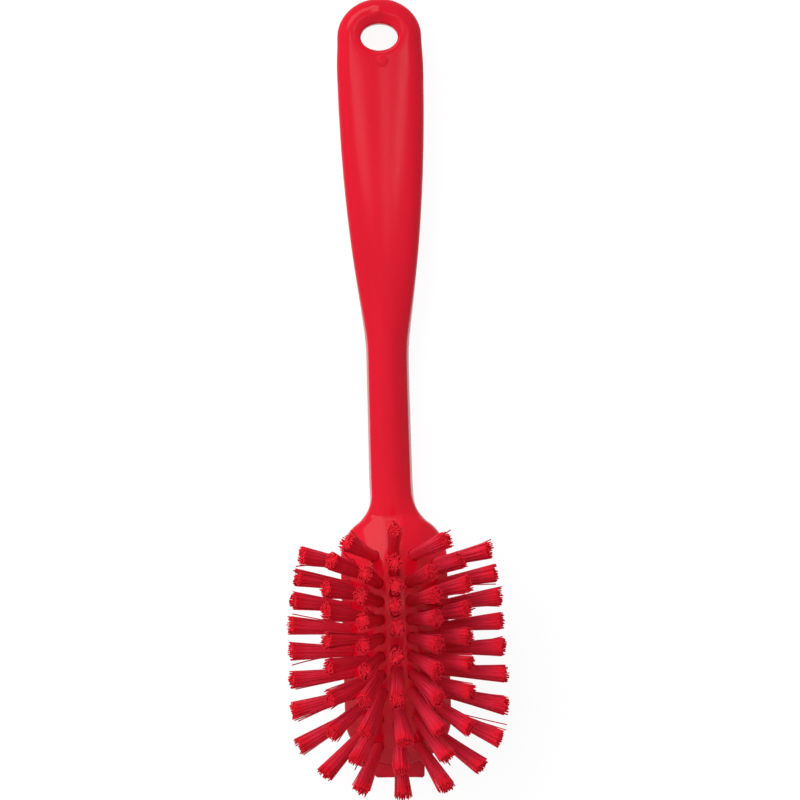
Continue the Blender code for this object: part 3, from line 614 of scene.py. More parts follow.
def build_stem(stem):
    """Handle and neck as one closed shell that ends inside the head."""
    mesh = bmesh.new()
    stations = stem.stations()
    rights = side_columns(mesh, stem, stations, 1)
    lefts = rights[:1] + side_columns(mesh, stem, stations[1:], -1)
    front = rows_across(mesh, stem, rights[1:], lefts[1:], True)
    back = rows_across(mesh, stem, rights[1:], lefts[1:], False)
    for rows, level in ((front, -1), (back, 0)):
        skin(mesh, rows)
        for corner, after in zip(rows[0], rows[0][1:]):
            mesh.faces.new((rights[0][level], corner, after))
    skin(mesh, rights)
    skin(mesh, lefts)
    mesh.faces.new(front[-1] + lefts[-1][-2::-1] + back[-1][-2::-1] + rights[-1][1:-1])
    return finish_mesh(mesh, "stem")


def facet_drop(across):
    """How far the dome's facets fall from the crown at a distance from the middle."""
    drop = 0.0
    start = CROWN_STRIP_WIDTH / 2
    for width, slope in FACETS:
        drop += min(max(across - start, 0.0), width) * math.tan(math.radians(slope))
        start += width
    return drop


def shoulder_fall(head, across, along):
    """How far the shoulders round down towards the head's outline."""
    rim = head.rim
    ahead = max(0.0, rim.neck_turn - along) / (rim.neck_turn - rim.neck_end)
    reach = (across / rim.half_width) ** HEAD_SHOULDER_POWER + ahead ** HEAD_SHOULDER_POWER
    inset = max(0.0, 1.0 - reach ** (1.0 / HEAD_SHOULDER_POWER)) * rim.half_width
    share = max(0.0, 1.0 - inset / SHOULDER_ROUNDING)
    fade = 1.0 - smooth((along - rim.neck_end - HEAD_SHOULDER / 2) / (HEAD_SHOULDER / 2))
    return SHOULDER_FALL * fade * share ** SHOULDER_POWER


def neck_half_height(head, across, along):
    """Height of the front of the neck half: the dome's facets run out into the shoulders."""
    spread = 1.0 - smooth((along - HEAD_STARTS_AT) / HEAD_SHOULDER)
    dome = head.crown_line(along) - facet_drop(across * (1.0 - DOME_SPREAD_AT_NECK * spread))
    shoulders = head.rim.middle_height - shoulder_fall(head, across, along)
    share = smooth((across - CROWN_STRIP_WIDTH) / INNER_FACET_WIDTH)
    return soft_max(dome, shoulders, between(DOME_EDGE_BLEND, DOME_FLANK_BLEND, share))


def neck_half_stations(head):
    """(along, half width) of the head's outline from the shoulders to the crown."""
    turn = [point for point in head.rim.half_points() if point[1] < head.rim.neck_turn]
    stations = [(along, across) for across, along in turn]
    first = head.rim.neck_turn
    last = head.crown_at + NECK_HALF_OVERLAP
    steps = round((last - first) / NECK_HALF_PITCH)
    return stations + [(along, head.rim.half_width) for along in evenly(first, last, steps)]


def build_neck_half(head):
    """Shoulders of the head, and the faceted dome that rises out of them."""
    mesh = bmesh.new()
    loops = []
    for along, half in neck_half_stations(head):
        section = [(half - min(HEAD_BACK_CHAMFER, half), 0.0), (half, HEAD_BACK_CHAMFER)]
        section.append((half, neck_half_height(head, half, along) - HEAD_RIM_SOFTENING))
        for step in range(DOME_STEPS):
            across = (half - min(HEAD_RIM_SOFTENING, half / 2)) * (1.0 - step / DOME_STEPS)
            section.append((across, neck_half_height(head, across, along)))
        right = [mesh.verts.new(at(x, along, z)) for x, z in section]
        left = [mesh.verts.new(at(-x, along, z)) for x, z in reversed(section)]
        loops.append(right + left)
    skin(mesh, loops, closed=True)
    return finish_mesh(mesh, "neck_half")


def tip_half_layout(head):
    """Lines of (across, along, height) points from the crown round the tip, on the +X side."""
    rim = [point for point in head.rim.half_points() if point[1] >= head.crown_at]
    count = len(rim)
    layout = [
        [(x, y, 0.0) for x, y in head.rim.half_points(HEAD_BACK_CHAMFER)[-count:]],
        [(x, y, HEAD_BACK_CHAMFER) for x, y in rim],
        [(x, y, head.rim.height(y) - HEAD_RIM_SOFTENING) for x, y in rim],
        [(x, y, head.rim.height(y)) for x, y in head.rim.half_points(HEAD_RIM_SOFTENING)[-count:]],
    ]
    for edge in (head.outer, head.middle, head.strip):
        lower = layout[-1]
        upper = [(x, y, edge.height(y)) for x, y in edge.half_points()[-count:]]
        for share in evenly(0.0, 1.0, FACET_STEPS)[1:]:
            layout.append([tuple(between(p, q, share) for p, q in zip(a, b)) for a, b in zip(lower, upper)])
    for line in layout:
        line[0] = (line[0][0], head.crown_at, line[0][2])
    return layout


def build_tip_half(head):
    """Tip half of the head: upright sides, and facets that fall away and close round the tip."""
    mesh = bmesh.new()
    lines = []
    for points in tip_half_layout(head):
        right = [mesh.verts.new(at(*point)) for point in points]
        left = [mesh.verts.new(at(-x, y, z)) for x, y, z in reversed(points[:-1])]
        lines.append(right + left)
    skin(mesh, lines)
    for line in (lines[0], lines[-1]):
        for index in range(len(line) // 2):
            corners = (line[index], line[index + 1], line[-index - 2], line[-index - 1])
            mesh.faces.new(list(dict.fromkeys(corners)))
    mesh.faces.new([line[0] for line in lines] + [line[-1] for line in reversed(lines)])
    return finish_mesh(mesh, "tip_half")


def build_scraper(sizes, head):
    """Thin straight-edged tongue for scraping, at the back of the tip."""
    mesh = bmesh.new()
    half = sizes.scraper_width / 2
    edge_at = head.tip_at + sizes.scraper_length
    root_at = head.tip_at - SCRAPER_REACH_INTO_HEAD
    edge = []
    for angle in evenly(0.0, QUARTER_TURN, ROUND_STEPS):
        across = half - SCRAPER_CORNER * (1.0 - math.cos(angle))
        edge.append((across, edge_at - SCRAPER_CORNER * (1.0 - math.sin(angle))))
    edge += [(-across, along) for across, along in reversed(edge)]
    slanted = [(across, along + across * SCRAPER_SLANT) for across, along in edge]
    lower = []
    upper = []
    for across, along in [(-half, root_at), (half, root_at)] + slanted:
        share = max(0.0, along - head.tip_at) / sizes.scraper_length
        thick = between(SCRAPER_ROOT_THICKNESS, SCRAPER_EDGE_THICKNESS, share)
        lower.append(mesh.verts.new(at(across, along, SCRAPER_BACK_LIFT)))
        upper.append(mesh.verts.new(at(across, along, SCRAPER_BACK_LIFT + thick)))
    mesh.faces.new(lower)
    mesh.faces.new(upper)
    skin(mesh, [lower + lower[:1], upper + upper[:1]])
    return finish_mesh(mesh, "scraper")


def turned(name, axes, profile, sides, squash=1.0):
    """Closed turned solids, one on each axis, from (radius, reach) pairs along it."""
    mesh = bmesh.new()
    for centre, direction in axes:
        turn = direction.to_track_quat("Z", "Y").to_matrix()
        loops = []
        for radius, reach in profile:
            loop = []
            for index in range(sides):
                angle = 2 * math.pi * index / sides
                offset = Vector((radius * math.cos(angle), radius * squash * math.sin(angle), reach))
                loop.append(mesh.verts.new(centre + turn @ offset))
            loops.append(loop)
        skin(mesh, loops, closed=True)
    return finish_mesh(mesh, name)


def bake_modifier(item, kind, **settings):
    """Replaces an object's mesh by what one modifier makes of it."""
    step = item.modifiers.new(kind.lower(), kind)
    for name, value in settings.items():
        setattr(step, name, value)
    graph = bpy.context.evaluated_depsgraph_get()
    made = bpy.data.meshes.new_from_object(item.evaluated_get(graph))
    item.modifiers.clear()
    item.data = made


def combine(target, tool, operation, solver):
    """Bakes one boolean into the target and removes the tool."""
    bake_modifier(target, "BOOLEAN", operation=operation, solver=solver, object=tool)
    bpy.data.objects.remove(tool, do_unlink=True)


def join(target, others):
    """Adds the shells of other objects to the target's mesh and removes those objects."""
    mesh = bmesh.new()
    for item in [target] + others:
        mesh.from_mesh(item.data)
    mesh.to_mesh(target.data)
    mesh.free()
    for item in others:
        bpy.data.objects.remove(item, do_unlink=True)


def melt(item, name, share):
    """Smooths the skin over and over where share(across, along) is above nothing, clear of the back."""
    group = item.vertex_groups.new(name=name)
    for vertex in item.data.vertices:
        if vertex.co.z > MELT_ABOVE:
            weight = share(vertex.co.x, HANDLE_END_Y - vertex.co.y)
            if weight > 0.0:
                group.add([vertex.index], weight, "REPLACE")
    bake_modifier(item, "SMOOTH", vertex_group=name, factor=RELAX, iterations=MELT_STEPS)


def melt_shoulders(item, flare_start):
    """Runs the neck's flare softly into the shoulders, and leaves the dome's arched edge crisp."""
    def share(across, along):
        near = smooth((along - flare_start) / MELT_LEAD)
        near *= smooth((flare_start + MELT_LENGTH - along) / MELT_LEAD)
        return near * smooth((abs(across) - MELT_CLEAR_OF_MIDDLE) / MELT_LEAD)

    melt(item, "shoulders", share)


def melt_handle(item, neck_from):
    """Evens the handle's front, clear of the hanging hole and its dish."""
    def share(_, along):
        return smooth((along - HANDLE_EVEN_FROM) / MELT_LEAD) * smooth((neck_from - along) / MELT_LENGTH)

    melt(item, "handle", share)


def soften(item):
    """Runs the shells together as one skin and rounds its edges a little, as moulding does."""
    bake_modifier(item, "REMESH", mode="VOXEL", voxel_size=SKIN)
    bake_modifier(item, "SMOOTH", factor=RELAX, iterations=SKIN_SMOOTHING)


def row_axes(head):
    """Roots and directions of the centre row's tufts."""
    first = HEAD_STARTS_AT + ROW_BEHIND_HEAD_START
    pitch = (head.strip.tip_end - ROW_CLEAR_OF_STRIP_END - first) / (ROW_COUNT - 1)
    axes = []
    for index in range(ROW_COUNT):
        along = first + pitch * index
        share = 2.0 * index / (ROW_COUNT - 1) - 1.0
        lean = math.radians(ROW_FAN_LEAN * share ** 3 - ROW_NECK_LEAN * (1.0 - share ** 2))
        root = at(0.0, along, head.crown_line(along))
        axes.append((root, Vector((0.0, -math.sin(lean), math.cos(lean)))))
    return axes


def node_axis(node):
    """Root on the head and direction of a packed tuft, from the two ends of its plug."""
    corners = [vertex.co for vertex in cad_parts[node].data.vertices]
    points = np.unique(np.round(corners, POINT_DIGITS), axis=0)
    centre = points.mean(axis=0)
    axis = np.linalg.svd(points - centre)[2][0]
    if axis[2] < 0:
        axis = -axis
    reach = (points - centre) @ axis
    reach -= reach.min()
    bottom = points[reach < PLUG_FOOT].mean(axis=0)
    top = points[(reach > PLUG_TOP[0]) & (reach < PLUG_TOP[1])].mean(axis=0)
    direction = Vector(top - bottom).normalized()
    return Vector(top) - direction * PLUG_PROUD, direction


def ring_nodes(ring):
    """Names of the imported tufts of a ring, in order round the U from the left side to the right."""
    names = [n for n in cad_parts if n.startswith(f"tuft_{ring}_")]
    left = sorted(n for n in names if "_left_" in n)
    right = sorted((n for n in names if "_right_" in n), reverse=True)
    return left + [f"tuft_{ring}_tip"] + right


def feed(tree, node, values):
    """Sets a node's inputs, by name or place, to numbers and colours or links them to outputs."""
    for name, value in values.items():
        if isinstance(value, bpy.types.NodeSocket):
            tree.links.new(value, node.inputs[name])
        else:
            node.inputs[name].default_value = value


def add_node(tree, kind, values, **settings):
    """A new shader node with its settings and inputs; gives back its outputs."""
    node = tree.nodes.new("ShaderNode" + kind)
    for name, value in settings.items():
        setattr(node, name, value)
    feed(tree, node, values)
    return node.outputs


def add_range(tree, value, span, results):
    """A value carried from one span to another."""
    ends = {"From Min": span[0], "From Max": span[1], "To Min": results[0], "To Max": results[1]}
    return add_node(tree, "MapRange", {"Value": value, **ends})["Result"]


def add_math(tree, operation, first, second):
    """A sum, product or other result of two values."""
    return add_node(tree, "Math", {0: first, 1: second}, operation=operation)[0]


def add_noise(tree, place, scale, detail, stretch=(1.0, 1.0, 1.0), turn=0.0):
    """Noise in the object's own space, after a stretch and a turn of that space."""
    mapping = {"Vector": place, "Scale": stretch, "Rotation": (0.0, 0.0, turn)}
    moved = add_node(tree, "Mapping", mapping)["Vector"]
    return add_node(tree, "TexNoise", {"Vector": moved, "Scale": scale, "Detail": detail})["Fac"]


def pigment_shade():
    """Group that makes a pigment lighter or darker, in the plastic and in the filament, where it also
    carries the painted light towards the tips.
    """
    name = "pigment_shade"
    if name in bpy.data.node_groups:
        return bpy.data.node_groups[name]
    group = bpy.data.node_groups.new(name, "ShaderNodeTree")
    pigment = group.interface.new_socket("Pigment", in_out="INPUT", socket_type="NodeSocketColor")
    pigment.default_value = (0.5, 0.0, 0.0, 1.0)
    shade = group.interface.new_socket("Shade", in_out="INPUT", socket_type="NodeSocketFloat")
    shade.default_value = 1.0
    group.interface.new_socket("Colour", in_out="OUTPUT", socket_type="NodeSocketColor")
    enter = group.nodes.new("NodeGroupInput").outputs
    values = {0: enter["Pigment"], "Scale": enter["Shade"]}
    scaled = add_node(group, "VectorMath", values, operation="SCALE")["Vector"]
    feed(group, group.nodes.new("NodeGroupOutput"), {"Colour": scaled})
    return group


def new_material(name, gloss):
    """A material with its tree and its principled shader."""
    material = bpy.data.materials.new(name)
    material.use_nodes = True
    tree = material.node_tree
    shader = tree.nodes["Principled BSDF"]
    feed(tree, shader, {"IOR": PLASTIC_IOR, "Specular IOR Level": gloss})
    return material, tree, shader


def plastic_material(colours):
    """Red moulded plastic: semi-gloss, with a moulding's faint flow clouds, orange peel and rub marks."""
    material, tree, shader = new_material("moulded_red_plastic", PLASTIC_GLOSS)
    place = add_node(tree, "TexCoord", {})["Object"]
    cloud = add_noise(tree, place, 1.0 / CLOUD_SIZE, CLOUD_DETAIL, CLOUD_STRETCH)
    peel = add_noise(tree, place, 1.0 / PEEL_SIZE, FINE_DETAIL)
    rubs = add_noise(tree, place, RUB_MARKS_A_METRE, FINE_DETAIL, RUB_STRETCH, RUB_TURN)
    shade = add_range(tree, cloud, CLOUD_SPAN, CLOUD_SHADES)
    pigment = {"Pigment": (*colours.plastic, 1.0), "Shade": shade}
    rough = add_range(tree, cloud, CLOUD_SPAN, CLOUD_ROUGHNESS)
    rubbed = add_range(tree, rubs, RUB_SPAN, (0.0, RUB_ROUGHNESS))
    bump = {"Strength": PEEL_STRENGTH, "Distance": PEEL_HEIGHT, "Height": peel}
    feed(tree, shader, {
        "Base Color": add_node(tree, "Group", pigment, node_tree=pigment_shade())["Colour"],
        "Roughness": add_math(tree, "ADD", rough, rubbed),
        "Normal": add_node(tree, "Bump", bump)["Normal"],
    })
    return material


def filament_material(colours):
    """Red filament: each strand a little lighter or darker, with painted light that makes the tips lighter
    than the roots, and a painted sheen on the shafts that gives way to a deeper, rougher red at the cut
    end.
    """
    material, tree, shader = new_material("red_filament", FILAMENT_GLOSS)
    along = add_node(tree, "Attribute", {}, attribute_name="strand_along")["Fac"]
    tone = add_node(tree, "Attribute", {}, attribute_name="strand_tone")["Fac"]
    each = add_range(tree, tone, (0.0, 1.0), STRAND_SHADES)
    # Painted light: each strand a little darker at the root and a little lighter at the tip
    painted_tip_light = add_range(tree, along, (PAINTED_TIP_LIGHT_FROM, 1.0), PAINTED_TIP_LIGHT)
    # Painted sheen: the shafts' paler red stands in for their gloss and gives way to the deeper red of the
    # cut ends
    ends = {
        "Factor": add_range(tree, along, PAINTED_SHEEN_FADE_SPAN, (0.0, 1.0)),
        "A": (*colours.filament_with_painted_sheen, 1.0),
        "B": (*colours.filament_end, 1.0),
    }
    pigment = {
        "Pigment": add_node(tree, "Mix", ends, data_type="RGBA")["Result"],
        "Shade": add_math(tree, "MULTIPLY", each, painted_tip_light),
    }
    feed(tree, shader, {
        "Base Color": add_node(tree, "Group", pigment, node_tree=pigment_shade())["Colour"],
        "Roughness": add_range(tree, along, (END_ROUGH_FROM, 1.0), END_ROUGHNESS),
    })
    return material


def shared_material(make, name):
    """The material of that name, made the first time that a piece asks for it."""
    return bpy.data.materials.get(name) or make(bpy.context.scene.brush_colours)


def strand_offsets(count, reach, draw):
    """Places of the filaments in a bundle of round section, packed as seeds in a flower head."""
    golden = math.pi * (3.0 - math.sqrt(5.0))
    index = np.arange(count)
    radius = reach * np.sqrt((index + 0.5) / count)
    angle = index * golden + draw.uniform(0.0, 2.0 * math.pi)
    return np.stack([radius * np.cos(angle), radius * np.sin(angle)], axis=1)


def clumps(start, draw):
    """Shares of the unevenness by which clumps of neighbouring filaments end short of the others."""
    waves = draw.normal(0.0, CLUMPS_A_WIDTH * math.pi / TUFT_HOLE_RADIUS, (CLUMP_WAVES, 2))
    shifts = draw.uniform(0.0, 2.0 * math.pi, CLUMP_WAVES)
    return 0.5 * (1.0 + np.sin(start @ waves.T + shifts).sum(axis=1))


def tuft_paths(root, direction, tangent, sizes, draw):
    """Centre lines of a tuft's filaments, as an array of strands by points by coordinates."""
    trim = direction - tangent * direction.dot(tangent)
    trim = Vector((trim.x, trim.y, trim.z * CUT_FACES_UP)).normalized()
    along_ring = (tangent - direction * direction.dot(tangent)).normalized()
    basis = np.array([along_ring, direction.cross(along_ring)])
    count = sizes.count
    start = strand_offsets(count, TUFT_HOLE_RADIUS - sizes.thickness * ROOT_CLEARANCE, draw)
    end = start * [sizes.splay, sizes.splay_across] + draw.normal(0.0, TIP_WANDER, (count, 2))
    bend = np.full(count, BEND)
    stray = draw.choice(count, sizes.strays, replace=False)
    swing = draw.uniform(0.0, 2.0 * math.pi, sizes.strays)
    far = draw.uniform(*STRAY_REACH, sizes.strays)
    end[stray] += np.stack([far * np.cos(swing), far * np.sin(swing)], axis=1)
    bend[stray] = draw.uniform(*STRAY_BEND, sizes.strays)
    bow = draw.normal(0.0, BOW, 2)
    axis = np.array(direction)
    lengths = sizes.length - (end @ basis) @ np.array(trim) / (axis @ np.array(trim))
    short = np.abs(draw.normal(0.0, CUT_SPREAD, count)) + CLUMP_SHARE * clumps(start, draw)
    lengths -= sizes.unevenness * short
    shares = np.linspace(0.0, 1.0, PATH_POINTS)
    spread = shares ** bend[:, None]
    flat = start[:, None] + (end - start)[:, None] * spread[:, :, None] + np.outer(shares ** 2, bow)
    above = flat @ basis + (lengths[:, None] * shares)[:, :, None] * axis
    below = start @ basis - axis * ROOT_DEPTH
    return np.array(root) + np.concatenate([below[:, None], above], axis=1)


def unit(vectors):
    """Vectors of the same directions and of length 1."""
    return vectors / np.linalg.norm(vectors, axis=-1, keepdims=True)


def round_turns(sides, first, second):
    """Directions at even turns from first towards second."""
    angle = 2.0 * np.pi * np.arange(sides)[:, None] / sides
    return np.cos(angle) * first + np.sin(angle) * second


def core_rings(paths, draw):
    """Rings of points round a tuft's inner filaments, which show only as streaks between the outer ones."""
    middle = paths.mean(axis=0)
    spread = paths - middle
    heading = unit(middle[-1] - middle[0])
    first = unit(np.cross(heading, [0.0, 0.0, 1.0]))
    second = np.cross(heading, first)
    wide = np.percentile(np.abs(spread @ first), CORE_PERCENTILE, axis=0)[:, None, None]
    deep = np.percentile(np.abs(spread @ second), CORE_PERCENTILE, axis=0)[:, None, None]
    ridges = 1.0 + draw.normal(0.0, CORE_RIDGES, CORE_SIDES)
    around = round_turns(CORE_SIDES, first * wide, second * deep) * ridges[:, None]
    rings = middle[:, None] + around
    tips = spread[:, -1]
    rise = tips @ heading
    flat = tips - np.outer(rise, heading)
    nearest = np.linalg.norm(flat - around[-1][:, None], axis=2).argmin(axis=1)
    below = CORE_BELOW_TIPS + draw.normal(0.0, CORE_BELOW_TIPS / 4, CORE_SIDES)
    rings[-1] += np.outer(rise[nearest] - below, heading)
    centre = rings[-1].mean(axis=0)
    cap = centre + (rings[-1] - centre) * CORE_CAP_WIDTH + heading * CORE_BELOW_TIPS / 4
    return np.append(rings, [cap], axis=0)


def strand_rings(paths):
    """Directions round each filament, square to it."""
    heading = unit(paths[:, -1] - paths[:, 0])[:, None]
    first = unit(np.cross(heading, NO_STRAND_HEADS_FOR))
    return round_turns(STRAND_SIDES, first, np.cross(heading, first))


def tuft_normals(paths, turns):
    """Normals round each strand, turned partly outwards from the tuft, as light passes between strands."""
    outward = paths - paths.mean(axis=0)
    heading = unit(paths[:, -1] - paths[:, 0])[:, None]
    outward -= (outward * heading).sum(axis=2, keepdims=True) * heading
    outward /= np.linalg.norm(outward, axis=2).max(axis=0)[:, None]
    return unit(turns[:, None] * STRAND_SHARE + outward[:, :, None] * (1.0 - STRAND_SHARE))


def tube_faces(points, sides, base):
    """Faces of a closed tube whose vertices start at base: first its side, then its two lids."""
    low = base + np.arange(points - 1)[:, None] * sides
    side = np.arange(sides)
    after = (side + 1) % sides
    quads = np.stack([low + side, low + after, low + sides + after, low + sides + side], axis=-1)
    top = base + (points - 1) * sides
    lids = [list(range(base, base + sides))[::-1], list(range(top, top + sides))]
    return quads.reshape(-1, 4).tolist() + lids


def bristle_parts(tufts, radius, draw):
    """Tubes of a mesh as (rings, place along the strand, tones): the filaments, then each tuft's core."""
    strands = np.concatenate([paths[:, :, None] + strand_rings(paths)[:, None] * radius for paths in tufts])
    places = np.append(0.0, np.linspace(0.0, 1.0, PATH_POINTS))
    tones = draw.uniform(0.0, 1.0, len(strands))
    parts = [(rings, places, np.full(STRAND_SIDES, tone)) for rings, tone in zip(strands, tones)]
    cap_place = (1.0 + CORE_TOP_PLACE) / 2
    places = np.concatenate([[0.0], np.linspace(0.0, CORE_TOP_PLACE, PATH_POINTS), [cap_place]])
    for paths in tufts:
        rings = core_rings(paths, draw)
        parts.append((rings, places, draw.uniform(0.0, 1.0, CORE_SIDES)))
    return parts


def bristle_mesh(name, tufts, radius, draw):
    """One mesh of the filaments and cores of some tufts, with the tone and the place along each strand."""
    verts = []
    faces = []
    along = []
    tone = []
    for rings, places, tones in bristle_parts(tufts, radius, draw):
        points, sides, _ = rings.shape
        faces += tube_faces(points, sides, len(verts))
        verts += rings.reshape(-1, 3).tolist()
        along += np.repeat(places, sides).tolist()
        tone += np.tile(tones, points).tolist()
    data = bpy.data.meshes.new(name)
    data.from_pydata(verts, [], faces)
    for attribute, values in (("strand_along", along), ("strand_tone", tone)):
        layer = data.attributes.new(attribute, "FLOAT", "POINT")
        layer.data.foreach_set("value", np.array(values, dtype=np.float32))
    data.shade_smooth()
    data.set_sharp_from_angle(angle=math.radians(STRAND_SHARP_FROM))
    normals = np.concatenate([tuft_normals(paths, strand_rings(paths)) for paths in tufts]).reshape(-1, 3)
    corners = np.array([corner.vector for corner in data.corner_normals])
    vertex = np.empty(len(corners), dtype=np.int32)
    data.loops.foreach_get("vertex_index", vertex)
    sizes = np.empty(len(data.polygons), dtype=np.int32)
    data.polygons.foreach_get("loop_total", sizes)
    on_side = np.repeat(sizes == 4, sizes) & (vertex < len(normals))
    corners[on_side] = normals[vertex[on_side]]
    data.normals_split_custom_set(corners.tolist())
    return data


def add_piece(data, name, material, node):
    """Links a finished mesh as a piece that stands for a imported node."""
    data.materials.clear()
    data.materials.append(material)
    item = add_object(name, data)
    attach(item, "root")
    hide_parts(node)
    return item


def add_bristles(node, tufts, sizes, draw):
    """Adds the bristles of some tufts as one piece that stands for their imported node."""
    name = node.replace("tuft", "bristles")
    data = bristle_mesh(name, tufts, sizes.thickness / 2, draw)
    item = add_piece(data, name, shared_material(filament_material, "red_filament"), node)


def tangents(axes, sizes):
    """Direction of the line through each tuft's tip and its neighbours' tips."""
    tips = [root + direction * sizes.length for root, direction in axes]
    ends = [tips[0]] + tips + [tips[-1]]
    return [(after - before).normalized() for before, after in zip(ends, ends[2:])]


def swept(axes, sizes, line):
    """Axes with their tips pushed aside, as use has set this brush's bristles."""
    push = Vector((*BRISTLE_SET[line], 0.0))
    return [(root, (direction * sizes.length + push).normalized()) for root, direction in axes]


def line_of_tufts(axes, sizes, line):
    """(filament paths, random numbers) of each tuft along a line of tufts."""
    tufts = []
    axes = swept(axes, sizes, line)
    for index, ((root, direction), tangent) in enumerate(zip(axes, tangents(axes, sizes))):
        draw = np.random.default_rng(SEEDS[line] + index)
        tufts.append((tuft_paths(root, direction, tangent, sizes, draw), draw))
    return tufts


def build_ring(context, ring):
    """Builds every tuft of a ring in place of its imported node."""
    sizes = context.scene.brush_tufts
    nodes = ring_nodes(ring)
    tufts = line_of_tufts([node_axis(node) for node in nodes], sizes, ring)
    for node, (paths, draw) in zip(nodes, tufts):
        add_bristles(node, [paths], sizes, draw)


class BRUSH_OT_moulded_body(bpy.types.Operator):
    """Build the moulded handle, neck, head and scraping edge as one skin"""

    bl_idname = "brush.moulded_body"
    bl_label = "Moulded body"

    def execute(self, context):
        sizes = context.scene.brush_body
        head = Head(sizes)
        stem = Stem(sizes, head)
        body = build_stem(stem)
        up = Vector((0.0, 0.0, 1.0))
        radius = sizes.hole_width / 2
        wide = radius + HOLE_DRAFT
        profile = [(wide, -TOOL_SINK), (wide, 0.0), (radius, HOLE_STRAIGHT_FROM)]
        profile.append((radius, 2.0 * sizes.handle_thickness))
        squash = sizes.hole_length / sizes.hole_width
        hole = turned("hanging_hole", [(at(0.0, HOLE_AT, 0.0), up)], profile, HOLE_SIDES, squash)
        combine(body, hole, "DIFFERENCE", "EXACT")
        join(body, [build_neck_half(head), build_tip_half(head), build_scraper(sizes, head)])
        soften(body)
        melt_shoulders(body, stem.flare_start)
        melt_handle(body, stem.taper_end)
        radius = GATE_MARK_WIDTH / 2
        profile = [(radius, -TOOL_SINK), (radius, GATE_MARK_PROUD - GATE_MARK_LIP / 2)]
        profile.append((radius - GATE_MARK_LIP, GATE_MARK_PROUD))
        mark_at = HOLE_AT + sizes.hole_length / 2 + GATE_MARK_BELOW_HOLE
        centre = at(GATE_MARK_ASIDE, mark_at, sizes.handle_thickness + HANDLE_CROWN)
        combine(body, turned("gate_mark", [(centre, up)], profile, HOLE_SIDES), "UNION", "MANIFOLD")
        axes = [node_axis(name) for ring in ("outer", "middle", "inner") for name in ring_nodes(ring)]
        profile = [(TUFT_HOLE_RADIUS, -TUFT_HOLE_DEPTH), (TUFT_HOLE_RADIUS, 2.0 * TUFT_HOLE_DEPTH)]
        holes = turned("drilled_holes", axes + row_axes(head), profile, TUFT_HOLE_SIDES)
        combine(body, holes, "DIFFERENCE", "MANIFOLD")
        data = body.data
        data.name = "moulded_body"
        data.shade_smooth()
        data.set_sharp_from_angle(angle=math.radians(BODY_SHARP_FROM))
        bpy.data.objects.remove(body, do_unlink=True)
        material = shared_material(plastic_material, "moulded_red_plastic")
        item = add_piece(data, "moulded_body", material, BODY_NODE)
        return {"FINISHED"}


class BRUSH_OT_outer_ring(bpy.types.Operator):
    """Build the 21 tufts of the outer ring"""

    bl_idname = "brush.outer_ring"
    bl_label = "Outer ring"

    def execute(self, context):
        build_ring(context, "outer")
        return {"FINISHED"}


class BRUSH_OT_middle_ring(bpy.types.Operator):
    """Build the 19 tufts of the middle ring"""

    bl_idname = "brush.middle_ring"
    bl_label = "Middle ring"

    def execute(self, context):
        build_ring(context, "middle")
        return {"FINISHED"}


class BRUSH_OT_inner_ring(bpy.types.Operator):
    """Build the 15 tufts of the inner ring"""

    bl_idname = "brush.inner_ring"
    bl_label = "Inner ring"

    def execute(self, context):
        build_ring(context, "inner")
        return {"FINISHED"}


class BRUSH_OT_centre_row(bpy.types.Operator):
    """Build the seven tufts along the crown"""

    bl_idname = "brush.centre_row"
    bl_label = "Centre row"

    def execute(self, context):
        sizes = context.scene.brush_tufts
        tufts = line_of_tufts(row_axes(Head(context.scene.brush_body)), sizes, "row")
        add_bristles(ROW_NODE, [paths for paths, _ in tufts], sizes, np.random.default_rng(ROW_MESH_SEED))
        return {"FINISHED"}


def seen_directly(tree):
    """1 for what the camera, reflections and clear pieces see, 0 for the light that falls on things."""
    path = add_node(tree, "LightPath", {})
    seen = add_math(tree, "MAXIMUM", path["Is Camera Ray"], path["Is Glossy Ray"])
    return add_math(tree, "MAXIMUM", seen, path["Is Transmission Ray"])


def build_floor(ground):
    """Pale floor. What the camera and reflections see is lifted to white, and keeps a soft shadow."""
    half = FLOOR_SIZE / 2
    data = bpy.data.meshes.new("floor")
    corners = [(-half, -half, 0.0), (half, -half, 0.0), (half, half, 0.0), (-half, half, 0.0)]
    data.from_pydata(corners, [], [(0, 1, 2, 3)])
    material = bpy.data.materials.new("pale_floor")
    material.use_nodes = True
    tree = material.node_tree
    tree.nodes.clear()
    matt = add_node(tree, "BsdfDiffuse", {"Color": (*ground, 1.0)})[0]
    faint = add_node(tree, "BsdfDiffuse", {"Color": (FLOOR_SHADOW, FLOOR_SHADOW, FLOOR_SHADOW, 1.0)})[0]
    glow = add_node(tree, "Emission", {"Strength": FLOOR_GLOW})[0]
    lifted = add_node(tree, "AddShader", {0: faint, 1: glow})[0]
    mixed = add_node(tree, "MixShader", {0: seen_directly(tree), 1: matt, 2: lifted})[0]
    add_node(tree, "OutputMaterial", {"Surface": mixed})
    data.materials.append(material)
    floor = add_object("floor", data)


def add_softbox(name, place, size, brightness, in_gloss):
    """Large soft lamp that faces the brush."""
    data = bpy.data.lights.new(name, "AREA")
    data.shape = "RECTANGLE"
    data.size, data.size_y = size
    data.energy = brightness * math.pi * size[0] * size[1]
    lamp = add_object(name, data)
    lamp.location = place
    lamp.rotation_euler = (-Vector(place)).to_track_quat("-Z", "Y").to_euler()
    lamp.visible_glossy = in_gloss


def build_camera():
    """Camera straight above the brush, with the photograph's frame."""
    data = bpy.data.cameras.new("camera")
    data.sensor_width = SENSOR_WIDTH
    data.lens = PIXELS_A_METRE * (CAMERA_HEIGHT - PIXELS_AT_HEIGHT) / PICTURE_PIXELS * SENSOR_WIDTH
    camera = add_object("camera", data)
    camera.location = (CAMERA_ASIDE, -CAMERA_DOWN, CAMERA_HEIGHT)
    camera.rotation_euler = (0.0, 0.0, math.radians(CAMERA_ROLL))
    bpy.context.scene.camera = camera


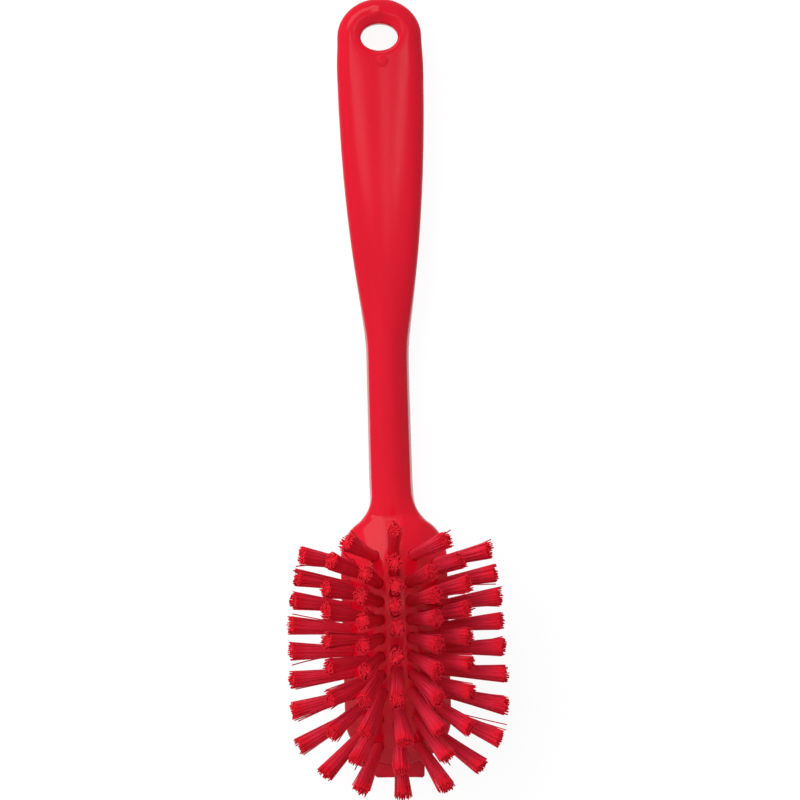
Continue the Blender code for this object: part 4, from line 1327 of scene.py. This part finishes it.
def build_world():
    """White surroundings, which give only a little light."""
    world = bpy.data.worlds.new("studio")
    world.use_nodes = True
    tree = world.node_tree
    strength = add_math(tree, "MAXIMUM", seen_directly(tree), SURROUND)
    feed(tree, tree.nodes["Background"], {"Color": (1.0, 1.0, 1.0, 1.0), "Strength": strength})
    bpy.context.scene.world = world


class BRUSH_OT_stage(bpy.types.Operator):
    """Build the floor, lamps, surroundings and camera"""

    bl_idname = "brush.stage"
    bl_label = "Stage"

    def execute(self, context):
        build_floor(tuple(context.scene.brush_colours.ground))
        for name, values in SOFTBOXES.items():
            add_softbox(name, *values)
        build_world()
        build_camera()
        context.scene.view_settings.view_transform = "Standard"
        return {"FINISHED"}


class BRUSH_PT_panel(bpy.types.Panel):
    """Sizes, colours and pieces of the dish brush"""

    bl_idname = "BRUSH_PT_panel"
    bl_label = "Dish brush"
    bl_space_type = "VIEW_3D"
    bl_region_type = "UI"
    bl_category = "Dish brush"

    def draw(self, context):
        layout = self.layout
        for group in (context.scene.brush_body, context.scene.brush_tufts, context.scene.brush_colours):
            column = layout.column(align=True)
            for name in group.__annotations__:
                column.prop(group, name)
        for operator in OPERATORS:
            layout.operator(operator.bl_idname)


OPERATORS = (
    BRUSH_OT_moulded_body,
    BRUSH_OT_outer_ring,
    BRUSH_OT_middle_ring,
    BRUSH_OT_inner_ring,
    BRUSH_OT_centre_row,
    BRUSH_OT_stage,
)
CLASSES = (BodySizes, TuftSizes, BrushColours) + OPERATORS + (BRUSH_PT_panel,)


def register():
    """Makes the classes known to Blender and hangs the sizes and colours on the scene."""
    for made in CLASSES:
        bpy.utils.register_class(made)
    bpy.types.Scene.brush_body = PointerProperty(type=BodySizes)
    bpy.types.Scene.brush_tufts = PointerProperty(type=TuftSizes)
    bpy.types.Scene.brush_colours = PointerProperty(type=BrushColours)


def unregister():
    """Takes everything away again that register added."""
    del bpy.types.Scene.brush_colours
    del bpy.types.Scene.brush_tufts
    del bpy.types.Scene.brush_body
    for made in reversed(CLASSES):
        bpy.utils.unregister_class(made)


def main():
    """Builds the brush and its stage."""
    register()
    bpy.ops.brush.moulded_body()
    bpy.ops.brush.outer_ring()
    bpy.ops.brush.middle_ring()
    bpy.ops.brush.inner_ring()
    bpy.ops.brush.centre_row()
    bpy.ops.brush.stage()


if __name__ == "__main__":
    main()
